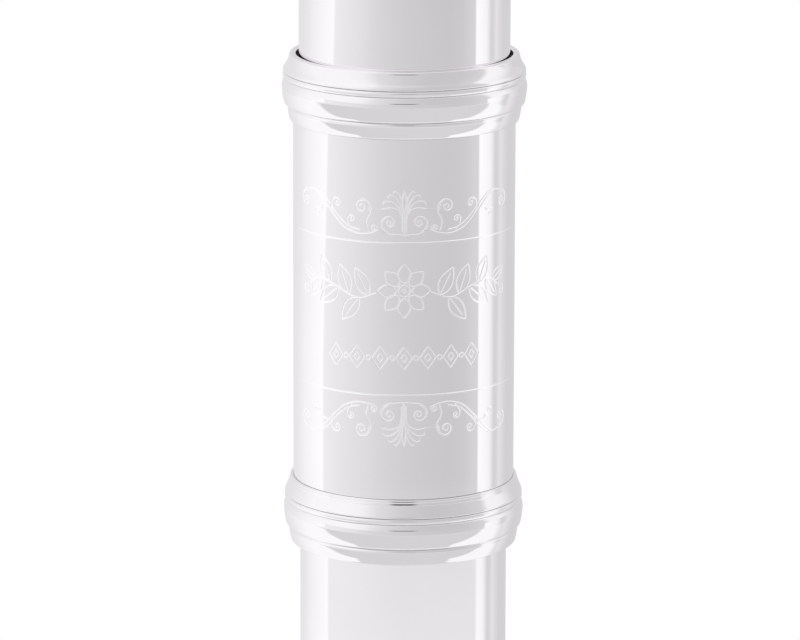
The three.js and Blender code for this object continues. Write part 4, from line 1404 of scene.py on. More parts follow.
@dataclass(frozen=True)
class HeadJoint:
    """The head tube, the lip plate on its riser, the crown and the stopper."""

    tenon: float = 447.4
    straight: float = 505.0
    top: float = 650.0
    outer: float = 10.0
    outer_top: float = 8.9
    wall: float = 0.45
    blow_z: float = 598.0
    blow_x: float = 5.2
    blow_half_z: float = 6.1
    lip_half_z: float = 31.5
    lip_angle: float = 62.0
    lip_h: float = 14.9
    lip_wall: float = 1.0
    stopper_z: float = 615.0

    def radius(self, z: float) -> float:
        """The head tube's outer radius at z."""
        share = min(1.0, max(0.0, (z - self.straight) / (self.top - self.straight)))
        return self.outer + (self.outer_top - self.outer) * share**1.3

    def tube(self) -> None:
        """The head tube, with the hole under the lip plate."""
        stations = [self.tenon, *np.linspace(460, self.straight, 4), *np.linspace(515, self.top, 28)]
        outside = [(self.radius(z), z) for z in stations]
        inside = [(self.radius(z) - self.wall, z) for z in reversed(stations)]
        shell = lathe([*outside, *inside, outside[0]], segments=160)
        blow = Cup(self.blow_x + 0.2, self.blow_z)
        cut = tube_with_holes("head_tube", shell, [(blow, Station())])
        piece = add_piece("head_tube_drawn", cut, Finish.SILVER, "head_tube", weighted=False)

        def rounds(co: np.ndarray, now: np.ndarray) -> np.ndarray:
            """Radial normals on the tube's round walls."""
            radial = np.stack([co[:, 0], co[:, 1], np.zeros(len(co))], 1)
            radial /= np.maximum(np.linalg.norm(radial, axis=1), 1e-6)[:, None]
            facing = (radial * now).sum(1)
            radial[:, 2] = now[:, 2]
            radial /= np.linalg.norm(radial, axis=1)[:, None]
            return np.where((np.abs(facing) > 0.95)[:, None], radial * np.sign(facing)[:, None], now)

        level_normals(piece, rounds)

    def lip_radius(self, along: float | np.ndarray) -> float | np.ndarray:
        """The lip plate's outer radius, along from -1 to 1."""
        end = self.radius(self.blow_z) + self.lip_wall + 0.3
        return end + (self.lip_h - end) * np.cos(along * math.pi / 2) ** 0.9

    def plate(self) -> None:
        """The lip plate: rings of points from the blow hole's edge out to the plate's edge, on both faces."""
        turn = np.linspace(0, 2 * math.pi, 96, endpoint=False)
        hole_a = math.degrees(math.asin(self.blow_x / self.lip_h))
        hole_b = self.blow_half_z / self.lip_half_z
        rows = [(0.0, self.lip_wall), (0.0, 0.35), (0.003, 0.12)]
        rows += [(0.018 + 0.962 * s**1.15, 0.03 if s == 0 else 0.0) for s in np.linspace(0, 1, 26)]
        rows += [(0.993, 0.1), (1.0, 0.4), (1.0, self.lip_wall - 0.1)]
        rows += [(s, self.lip_wall) for s in (0.985, 0.8, 0.6, 0.4, 0.2)]
        points = []
        for share, inset in rows:
            a = (hole_a + (self.lip_angle - hole_a) * share) * np.cos(turn)
            b = (hole_b + (0.985 - hole_b) * share) * np.sin(turn)
            r = self.lip_radius(b) - inset
            x, h = r * np.sin(np.radians(a)), r * np.cos(np.radians(a))
            points.append(np.stack([x, h, self.blow_z + b * self.lip_half_z], 1))
        shell = grid(np.array(points), wrap_rows=True, wrap_columns=True)
        add_piece("lip_plate_formed", shell, Finish.SILVER, "lip_plate", sharp=55, weighted=False)
        turn = np.linspace(0, 2 * math.pi, 64, endpoint=False)
        x, z = self.blow_x * np.cos(turn), self.blow_half_z * np.sin(turn)
        rows = []
        for grow, kind in ((0.02, "top"), (0.02, "foot"), (0.85, "foot"), (0.85, "top")):
            px, pz = x * (1 + grow / self.blow_x), z * (1 + grow / self.blow_half_z)
            reach = 13.25 if kind == "top" else self.radius(self.blow_z) + 0.12
            rows.append(np.stack([px, np.sqrt(reach**2 - px**2), self.blow_z + pz], 1))
        wall = grid(np.array(rows), True, True)
        add_piece("embouchure_riser_wall", wall, Finish.SILVER, "embouchure_riser", sharp=40)

    def crown(self) -> None:
        """The crown and the stopper behind it."""
        outer, low, high = 9.75, 648.0, 666.0
        bore = self.outer_top + 0.12
        profile: Profile = [(bore, low), (outer - 0.3, low), (outer, low + 0.5), (outer, low + 1.1)]
        profile += [(outer - 0.35, low + 1.6), (outer - 0.5, low + 5), (outer - 0.45, high - 6.4)]
        profile += [(outer - 0.05, high - 5.8), (outer, high - 5.1), (outer - 0.15, high - 4.2)]
        profile += [(outer - 0.6, high - 3.8), (outer - 0.8, high - 3.2)]
        rise = np.linspace(0.08, math.pi / 2, 16)
        dome = [(8.8 * math.cos(a), high - 2.9 + 2.9 * math.sin(a)) for a in rise]
        inside: Profile = [(0, high - 3), (1.9, high - 3), (1.9, 650.5), (bore, 650.5), (bore, low)]
        shell = lathe([*softened(profile, 0.25), *dome[:-1], (0, high)], segments=96)
        hollow = lathe(inside, segments=96)
        add_piece("crown_turned", [shell, hollow], Finish.SILVER, "crown", sharp=48)
        bore = self.radius(635) - self.wall - 0.15
        z = self.stopper_z
        screw: Profile = [(0, z), (bore, z), (bore, z + 1), (1.5, z + 1)]
        for k in range(54):
            turn_z = z + 19.6 + 0.75 * k / 2
            screw += [(1.5, turn_z), (1.22, turn_z + 0.19)]
        screw += [(1.4, z + 43.6), (0, z + 44)]
        add_piece("stopper_screw_threaded", lathe(screw, segments=40), Finish.SILVER, "stopper_screw")
        corners = [(1.75, z + 1.2), (bore, z + 1.2), (bore, z + 18), (1.75, z + 18), (1.75, z + 1.2)]
        cork = softened(corners, 0.5, 4)
        add_piece("stopper_cork_turned", lathe(cork, segments=72), Finish.CORK, "stopper_cork")
        r = bore - 0.4
        nut = softened([(1.75, z + 18.2), (r, z + 18.2), (r, z + 20), (1.75, z + 20), (1.75, z + 18.2)], 0.3)
        add_piece("stopper_nut_knurled", self.knurled(nut), Finish.SILVER, "stopper_nut", sharp=20)

    def knurled(self, profile: Profile) -> Shell:
        """A turned profile with teeth round its rim."""
        shell = lathe(profile, segments=144)
        r = np.hypot(shell.points[:, 0], shell.points[:, 1])
        turn = np.arctan2(shell.points[:, 0], shell.points[:, 1])
        bite = np.where(r > r.max() - 0.4, 0.16 * (0.5 + 0.5 * np.cos(turn * 36)), 0)
        shell.points[:, :2] *= ((r - bite) / np.maximum(r, 1e-6))[:, None]
        return shell

    def build(self) -> None:
        """Make the head joint."""
        self.tube()
        self.plate()
        self.crown()


def radial_walls(
    radii: Sequence[float], tolerance: float = 0.02
) -> Callable[[np.ndarray, np.ndarray], np.ndarray]:
    """Make a function that gives true radial normals on cylindrical walls.

    Args:
        radii: The walls' radii.
        tolerance: How far from a wall a corner may be.

    Returns:
        A function for level_normals.
    """

    def normals(co: np.ndarray, now: np.ndarray) -> np.ndarray:
        """Radial normals on the walls, and the present ones elsewhere."""
        r = np.hypot(co[:, 0], co[:, 1])
        radial = np.stack([co[:, 0], co[:, 1], np.zeros(len(co))], 1) / np.maximum(r, 1e-6)[:, None]
        facing = (radial * now).sum(1)
        on_wall = (np.abs(r[:, None] - np.array(radii)) < tolerance).any(1) & (np.abs(facing) > 0.9)
        return np.where(on_wall[:, None], radial * np.sign(facing)[:, None], now)

    return normals


MAIN = Hinge(-12, 13)
TRILL = Hinge(-15.8, 9.1, tube_outer=1.85, tube_inner=1.1, steel=0.8)
RIGHT = Hinge(12, 13)
LINE_RADIUS = math.hypot(MAIN.x, MAIN.h)
LINE_ANGLE = math.degrees(math.atan2(RIGHT.x, RIGHT.h))
FOOT = Hinge(0, LINE_RADIUS)
LEVER = Hinge(*around(-34.8, 15.6))
OPEN = 10.0
OFFSET_G = 18.0
G_LINE = Hinge(*around(OFFSET_G + LINE_ANGLE, LINE_RADIUS))
FOOT_ANGLE = 42.71
FRONT_OPEN = Station(0, (MAIN.x, MAIN.h), -OPEN)
G_OPEN = Station(OFFSET_G, (RIGHT.x, RIGHT.h), OPEN)
THUMB_OPEN = Station(180, (RIGHT.x, RIGHT.h), OPEN)
G_SHARP = Station(115)


@dataclass(frozen=True)
class KeyWork:
    """The keys of the body joint, on their four hinge lines."""

    g_sharp_touch: float = 47.0  # the angle of its touch round the bore

    def cup(self, pad: str, hole_r: float, open_hole: bool = False) -> Cup:
        """The cup over a pad's place."""
        return Cup(hole_r, centre_z(pad), open_hole)

    def dress(
        self,
        name: str,
        cups: Sequence[tuple[Cup, str]],
        hinge: Hinge,
        station: Station,
        tube: tuple[float, float],
        extras: Sequence[Shell] = (),
        catch: float = 0.0,
        arm_width: float = 3.3,
    ) -> None:
        """Make a key: its silver, and a pad in each cup.

        Args:
            name: The key's CAD node.
            cups: Each cup and its pad's CAD node.
            hinge: Its hinge line, in its station.
            station: Where it stands.
            tube: The ends of its hinge tube.
            extras: Other silver parts soldered to it.
            catch: Where its spring catch is, if it has one.
            arm_width: The width of its arms.
        """
        silver = [hinge.tube(*tube), *extras]
        for cup, _ in cups:
            silver += [*cup.silver(), cup.arm(hinge, arm_width)]
        if catch:
            silver.append(hinge.catch(catch, -1.0 if hinge is RIGHT else 1.0))
        add_piece(name + "_silver", silver, Finish.SILVER, name, station=station)
        for cup, pad in cups:
            add_piece(pad + "_cushion", cup.pad(), Finish.SKIN, pad, station=station)
            if not cup.open_hole:
                body = BODY_OF_NODE[pad]
                add_piece(pad + "_washer", cup.washer(), Finish.SILVER, body=body, station=station)

    def main_line(self) -> None:
        """The keys on the main hinge line."""
        rows: list[tuple[str, float, bool, tuple[float, float], float]] = [
            ("d", 7.0, True, (131.9, 151.0), 143.5),
            ("e", 7.0, True, (151.4, 176.2), 170.5),
            ("f", 6.9, True, (181.8, 203.4), 187.5),
            ("f_sharp", 6.9, False, (211.2, 228.2), 224.5),
            ("a", 6.7, True, (281.3, 300.8), 287.0),
            ("b_flat", 6.6, False, (301.2, 319.7), 316.0),
        ]
        for name, hole_r, is_open, tube, catch in rows:
            cup = self.cup(name + "_pad", hole_r, is_open)
            self.dress(name + "_key", [(cup, name + "_pad")], MAIN, FRONT_OPEN, tube, catch=catch)
        small = self.cup("c_sharp_pad", 3.3)
        finger = Cup(6.8, 332.0)
        dish: Profile = [(0, 14.75), (8.1, 14.75), (8.45, 13.9), (8.8, 13.9), (8.8, 15.1)]
        dish += [(8.35, 15.42), (8.0, 15.45), (5.0, 15.32), (0, 15.25)]
        plate = lathe(softened(dish, 0.16), (0, 0, finger.z), (0, 1, 0), 64)
        extras = [plate, finger.arm(MAIN, 3.3, 0.5)]
        cups, tube = [(small, "c_sharp_pad")], (325.3, 370.9)
        self.dress("c_sharp_key", cups, MAIN, FRONT_OPEN, tube, extras, 352.0, arm_width=2.5)
        z = centre_z("shake_lever")
        lever = [
            MAIN.tube(z - 3.4, z + 3.4),
            blade(
                [(-12, 14.0, z, 3, 2.6), (-10.2, 16.2, z, 2.8, 1.8)]
                + [(-7.5, 17.2, z, 2.6, 1.1), (-3.5, 17.3, z, 2.2, 0.8)]
            ),
            pebble(-4.6, z, 4.4, 2.6, 17.0, 18.0),
        ]
        add_piece("shake_lever_silver", lever, Finish.SILVER, "shake_lever")

    def offset_g(self) -> None:
        """The two G cups and the G sharp key."""
        cups = [(Cup(6.7, 245.5, True), "g_lower_pad"), (Cup(6.7, 269.0), "g_upper_pad")]
        self.dress("g_key", cups, RIGHT, G_OPEN, (240.6, 279.2), catch=257.0)
        cup = Cup(5.6, centre_z("g_sharp_pad"))
        line = Hinge(*around(OFFSET_G + LINE_ANGLE - G_SHARP.angle, LINE_RADIUS))
        touch = Station(self.g_sharp_touch - G_SHARP.angle)
        reach = around(touch.angle, 20.3)
        silver = [
            line.tube(224.2, 235.2),
            *cup.silver(),
            blade(
                [
                    (line.x + 1.0, line.h + 0.4, 229.0, 3.2, 2.0),
                    (-9.6, 14.5, 238.0, 2.9, 1.6),
                    (-5.0, 16.3, 247.0, 2.6, 1.2),
                    (-1.2, 16.4, 253.2, 1.9, 0.8),
                    (0, 16.05, 257.2, 0.5, 0.4),
                ]
            ),
            blade(
                [
                    (line.x - 0.4, line.h + 1.0, 230.0, 2.8, 2.0),
                    ((line.x + reach[0]) / 2 - 0.4, (line.h + reach[1]) / 2 + 0.4, 228.6, 2.7, 1.5),
                    (reach[0], reach[1] - 0.3, 226.5, 2.6, 1.0),
                ]
            ),
            turned_to(pebble(0, 225.5, 3.1, 7.1, 19.7, 20.9), touch),
        ]
        add_piece("g_sharp_key_silver", silver, Finish.SILVER, "g_sharp_key", station=G_SHARP)
        add_piece("g_sharp_pad_cushion", cup.pad(), Finish.SKIN, "g_sharp_pad", station=G_SHARP)
        add_piece("g_sharp_pad_washer", cup.washer(), Finish.SILVER, body="g_sharp", station=G_SHARP)

    def trill_keys(self) -> None:
        """The two trill keys, one steel inside the other's tube."""
        for name, hole_r, tubes, touch_z in (
            ("trill_d", 3.9, [(164.0, 392.0)], 180.2),
            ("trill_d_sharp", 3.9, [(143.9, 163.6), (392.4, 407.1)], 151.8),
        ):
            cup = Cup(hole_r, centre_z(name + "_pad"))
            silver = [TRILL.tube(*tube) for tube in tubes]
            silver += [*cup.silver(), cup.arm(TRILL, 2.6)]
            silver.append(
                blade(
                    [
                        (-16.4, 9.4, touch_z, 3.0, 2.2),
                        (-18.4, 10.6, touch_z, 2.8, 1.7),
                        (-20.0, 12.4, touch_z, 2.6, 1.3),
                        (-20.5, 13.6, touch_z, 2.2, 1.0),
                    ]
                )
            )
            silver.append(pebble(-20.3, touch_z, 2.9, 5.6, 13.4, 14.4))
            if name == "trill_d_sharp":
                silver.append(TRILL.rod(139.5, 411.5))
            add_piece(name + "_key_silver", silver, Finish.SILVER, name + "_key")
            add_piece(name + "_pad_cushion", cup.pad(), Finish.SKIN, name + "_pad")

    def thumb_keys(self) -> None:
        """The thumb key and the B flat lever, at the back."""
        extras = [
            pebble(-1.6, 317.5, 4.4, 8.6, 16.2, 17.2, 0.25),
            blade(
                [(-0.6, 15.7, 331.0, 4.0, 0.7), (-0.8, 16.1, 326.5, 4.2, 1.2), (-1.2, 16.6, 321.0, 4.4, 0.9)]
            ),
        ]
        cup = Cup(6.5, 332.0)
        self.dress("thumb_key", [(cup, "thumb_pad")], RIGHT, THUMB_OPEN, (321.8, 341.0), extras, 335.5)
        lever = [
            RIGHT.tube(300.3, 321.4),
            blade(
                [(12, 14.0, 304.7, 3, 2.6), (10.2, 16.0, 304.7, 2.8, 1.8)]
                + [(7, 17.1, 304.2, 2.6, 1.1), (3.6, 17.3, 303, 2.2, 0.8)]
            ),
            pebble(3.2, 301.2, 3.6, 6.6, 16.9, 17.9),
        ]
        node = "thumb_b_flat_lever"
        add_piece(node + "_silver", lever, Finish.SILVER, node, station=Station(180))

    def build(self) -> None:
        """Make the key work."""
        self.main_line()
        self.offset_g()
        self.trill_keys()
        self.thumb_keys()


@dataclass(frozen=True)
class BodyJoint:
    """The body tube with its drawn tone holes, its ribs and posts, and its steels."""

    tube: float = 9.9
    bore: float = 9.5
    low: float = 112.6
    high: float = 446.9
    ring_z: float = 124.9
    segments: int = 128
    main_posts: tuple[float, ...] = (129.2, 179.0, 231.0, 278.5, 322.5, 373.7)
    trill_ends: tuple[float, ...] = (141.0, 410.0)
    trill_bearings: tuple[float, ...] = (248.0, 340.0)
    g_posts: tuple[float, ...] = (221.5, 237.9, 282.0)
    thumb_posts: tuple[float, ...] = (297.5, 343.8)

    def holes(self) -> list[tuple[Cup, Station]]:
        """Each tone hole and where it stands."""
        front, g = Station(), Station(OFFSET_G)
        rows = [(137, 7.0), (166.5, 7.0), (194, 6.9), (220.5, 6.9), (291.5, 6.7), (312.5, 6.6), (366, 3.3)]
        rows += [(383, 3.9), (400.5, 3.9)]
        holes = [(Cup(r, z), front) for z, r in rows]
        holes += [(Cup(6.7, 245.5), g), (Cup(6.7, 269), g), (Cup(5.6, 257.2), G_SHARP)]
        return [*holes, (Cup(6.5, 332), Station(180))]

    def build(self) -> None:
        """Make the body joint without its keys."""
        z, t = self.ring_z, self.tube
        profile: Profile = [(self.bore, self.low), (t, self.low), (t, z)]
        ring = [(t, z), (t + 0.9, z), (t + 1.1, z + 0.9), (t + 0.9, z + 1.8), (t, z + 1.8)]
        profile += softened(ring, 0.3, 4)[1:-1]
        profile += [(t, z + 1.8), (t, self.high), (self.bore, self.high), (self.bore, self.low)]
        shell = lathe(profile, segments=self.segments)
        cut = tube_with_holes("body_tube", shell, self.holes())
        shells = [cut] + [turned_to(cup.chimney(t, self.bore), at) for cup, at in self.holes()]
        piece = add_piece("body_tube_drawn", shells, Finish.SILVER, "body_tube", weighted=False)
        level_normals(piece, radial_walls((t, self.bore)))
        main = [strap(-70, -52, 127.2, 413)]
        main += [MAIN.post(-60, z) for z in self.main_posts]
        main += [TRILL.post(-66, z) for z in self.trill_ends]
        main += [TRILL.post(-66, z, 2.75) for z in self.trill_bearings]
        add_piece("main_rib_and_posts", main, Finish.SILVER, "main_rib")
        g_rib = [strap(66.5, 75.5, 219, 285)] + [G_LINE.post(71, z) for z in self.g_posts]
        add_piece("g_rib_and_posts", g_rib, Finish.SILVER, "g_rib")
        thumb = [strap(52, 70, 295, 347)] + [RIGHT.post(60, z) for z in self.thumb_posts]
        add_piece("thumb_rib_and_posts", thumb, Finish.SILVER, "thumb_rib", station=Station(180))
        self.steels()
        self.springs()

    def steels(self) -> None:
        """The hinge steels, each with its slotted head."""
        for node, hinge, station, head in (
            ("right_hand_steel", MAIN, Station(), -1),
            ("left_hand_steel", MAIN, Station(), 1),
            ("g_steel", G_LINE, Station(), 1),
            ("thumb_steel", RIGHT, Station(180), 1),
        ):
            low, high = span(node)
            end = (high if head > 0 else low) + head * 0.02
            shells = [hinge.rod(low, high), *hinge.screw_end(end, head)]
            add_piece(node + "_ground", shells, Finish.STEEL, node, station=station)

    def springs(self) -> None:
        """The needle springs, which stay with the posts that hold them."""
        rows = [(129.2, 143.5), (179.0, 170.5), (179.0, 187.5), (231.0, 224.5)]
        rows += [(278.5, 287.0), (322.5, 316.0), (373.7, 352.0)]
        needles = [MAIN.spring(post, catch) for post, catch in rows]
        needles += [turned_to(RIGHT.spring(282.0, 257.0, -1), Station(OFFSET_G))]
        needles += [turned_to(RIGHT.spring(343.8, 335.5, -1), Station(180))]
        add_piece("needle_springs", needles, Finish.STEEL, body="body_joint")


@dataclass(frozen=True)
class FootJoint:
    """The foot joint: tube and socket, ribs, three keys and the two levers for the little finger."""

    tube: float = 9.9
    bore: float = 9.5
    socket_inner: float = 10.15
    socket: float = 10.7
    top: float = 124.6
    tenon: float = 112.6
    hole_r: float = 7.8
    posts: tuple[float, ...] = (21.9, 88.3, 107.9)
    lever_posts: tuple[float, ...] = (40.4, 86.8)

    def shell(self) -> Shell:
        """The tube with its end ring and socket, without holes."""
        t, s, top = self.tube, self.socket, self.top
        ring: Profile = [(self.bore, 0), (t + 0.9, 0), (t + 1.1, 0.9), (t + 0.9, 1.8)]
        ring += [(t + 0.1, 2.1), (t, 2.3)]
        cuff: Profile = [(t, self.tenon - 2), (s, self.tenon - 0.8), (s, top - 2.7), (s + 0.8, top - 2.2)]
        cuff += [(s + 0.8, top - 0.4), (s + 0.5, top), (self.socket_inner, top)]
        cuff += [(self.socket_inner, self.tenon - 0.3), (self.bore, self.tenon - 0.3), (self.bore, 0)]
        return lathe(softened([*ring, *cuff], 0.3, 4), segments=128)

    def build(self) -> None:
        """Make the foot joint."""
        station = Station(FOOT_ANGLE)
        places = {"d_sharp": 104.0, "c_sharp": 70.0, "c": 35.5}
        cups = {name: Cup(self.hole_r, z) for name, z in places.items()}
        holes = [(cup, station) for cup in cups.values()]
        cut = tube_with_holes("foot_tube", self.shell(), holes)
        shells = [cut]
        shells += [turned_to(cup.chimney(self.tube, self.bore), station) for cup in cups.values()]
        piece = add_piece("foot_tube_drawn", shells, Finish.SILVER, "foot_tube", weighted=False)
        level_normals(piece, radial_walls((self.tube, self.bore, self.socket)))
        ribs = [strap(-30, -17, 19, 110.3), strap(-52, -17, 38, 89.2)]
        ribs += [FOOT.post(-21, z) for z in self.posts] + [LEVER.post(-44, z) for z in self.lever_posts]
        add_piece("foot_rib_and_posts", ribs, Finish.SILVER, "foot_rib")
        for node, hinge in (("foot_steel", FOOT), ("lever_steel", LEVER)):
            low, high = span(node)
            rod = [hinge.rod(low, high), *hinge.screw_end(low - 0.02, -1)]
            add_piece(node + "_ground", rod, Finish.STEEL, node)
        needles = [FOOT.spring(21.9, 41.0, -1), FOOT.spring(88.3, 66.0, -1), FOOT.spring(88.3, 98.0, -1)]
        needles += [LEVER.spring(40.4, 55.0), LEVER.spring(86.8, 78.0)]
        add_piece("foot_needle_springs", needles, Finish.STEEL, body="foot_joint")
        self.keys(cups)
        self.levers()

    def keys(self, cups: dict[str, Cup]) -> None:
        """The three padded keys.

        Args:
            cups: Each key's cup, by the key's name.
        """
        line = Hinge(*around(-FOOT_ANGLE, LINE_RADIUS))
        front = Station(-FOOT_ANGLE)
        h = FOOT.h
        touch = [
            blade(
                [(-0.4, h + 0.8, 94.2, 3.4, 2.2), (-2.6, h + 2.2, 94.2, 3.3, 1.6)]
                + [(-5.2, h + 2.9, 94.4, 3.2, 1.1)]
            ),
            pebble(-8.6, 95.5, 4.8, 8.2, 20, 21.2, 0.2),
        ]
        reach = LEVER.x / 2

        def tail(z: float) -> list[Shell]:
            """The tail of a low key, which its lever lifts."""
            stations = [(-0.4, h, z, 3, 2.0), (reach / 2, h + 0.1, z, 3, 1.5), (reach - 1, h, z, 2.8, 1.1)]
            return [blade(stations)]

        rows = [
            ("d_sharp", (91.1, 105.0), touch, 0.0),
            ("c_sharp", (58.5, 85.5), tail(78), -OPEN),
            ("c", (24.7, 58.1), tail(47), -OPEN),
        ]
        for name, tube, parts, swing in rows:
            extras = [turned_to(part, front) for part in parts]
            station = Station(FOOT_ANGLE, (line.x, line.h), swing)
            node, cup = f"foot_{name}_key", cups[name]
            silver = [line.tube(*tube), *cup.silver(), cup.arm(line), *extras]
            add_piece(node + "_silver", silver, Finish.SILVER, node, station=station)
            pad = f"foot_{name}_pad"
            add_piece(pad + "_cushion", cup.pad(), Finish.SKIN, pad, station=station)
            add_piece(pad + "_washer", cup.washer(), Finish.SILVER, body=BODY_OF_NODE[pad], station=station)

    def levers(self) -> None:
        """The C sharp lever, the C lever with its cage, and the roller on the cage's pin."""
        x, h, reach = LEVER.x, LEVER.h, LEVER.x / 2
        lift = FOOT.h - 0.6 - (abs(reach) + 1) * math.sin(math.radians(OPEN)) - 0.3

        def base(low: float, high: float, tail_z: float, touch_z: float) -> list[Shell]:
            """The hinge tube, the nose under the key's tail, and the arm out to the touch."""
            return [
                LEVER.tube(low, high),
                blade(
                    [
                        (x + 0.3, h + 0.6, tail_z, 2.8, 2.2),
                        (x + 2.2, h + 1.6, tail_z, 2.8, 1.6),
                        (reach + 0.8, lift - 0.55, tail_z, 2.6, 1.05),
                    ]
                ),
                blade(
                    [
                        (x - 0.4, h + 0.8, touch_z, 3.2, 2.4),
                        (-12.2, 16.4, touch_z, 3.2, 1.8),
                        (-15.2, 18.2, touch_z, 3.0, 1.3),
                    ]
                ),
            ]

        touch = pebble(-14.6, 80.4, 6.2, 4.4, 18.4, 19.6)
        lever = [*base(73.6, 84.0, 78, 80.4), touch]
        add_piece("c_sharp_lever_silver", lever, Finish.SILVER, "c_sharp_lever")
        cx, ch, cz, end = -15.0, 18.8, 71.6, 3.8

        def wall(x0: float, x1: float, z0: float, z1: float) -> Shell:
            """A wall of the roller's cage with round edges."""
            corners = softened([(x0, z0), (x1, z0), (x1, z1), (x0, z1), (x0, z0)], 0.3)[:-1]
            rows = [[(px, level, cz + pz) for px, pz in corners] for level in (ch - 1.8, ch + 0.4)]
            return grid(np.array(rows), wrap_columns=True, caps=True)

        pin_outline = softened([(0, -4.4), (0.5, -4.4), (0.5, 4.4), (0, 4.4)], 0.1)
        pin = lathe(pin_outline, (cx, ch, cz), (1, 0, 0), 16)
        cage = [
            wall(cx - end - 1.2, cx + end + 1.2, -4.2, -2.6),
            wall(cx - end - 1.2, cx - end, -4.2, 1.0),
            wall(cx + end, cx + end + 1.2, -4.2, 1.0),
            pin,
        ]
        add_piece("c_lever_silver", [*base(43.0, 73.2, 47, 67.6), *cage], Finish.SILVER, "c_lever")
        barrel: Profile = [(0.62, -3.4), (1.55, -3.4), (1.8, -2.6), (1.9, 0)]
        barrel += [(1.8, 2.6), (1.55, 3.4), (0.62, 3.4), (0.62, -3.4)]
        roller = lathe(softened(barrel, 0.5, 4), (cx, ch, cz), (1, 0, 0), 40)
        add_piece("c_roller_turned", roller, Finish.SILVER, "c_roller")


# ---- Studio --------------------------------------------------------------------------------------


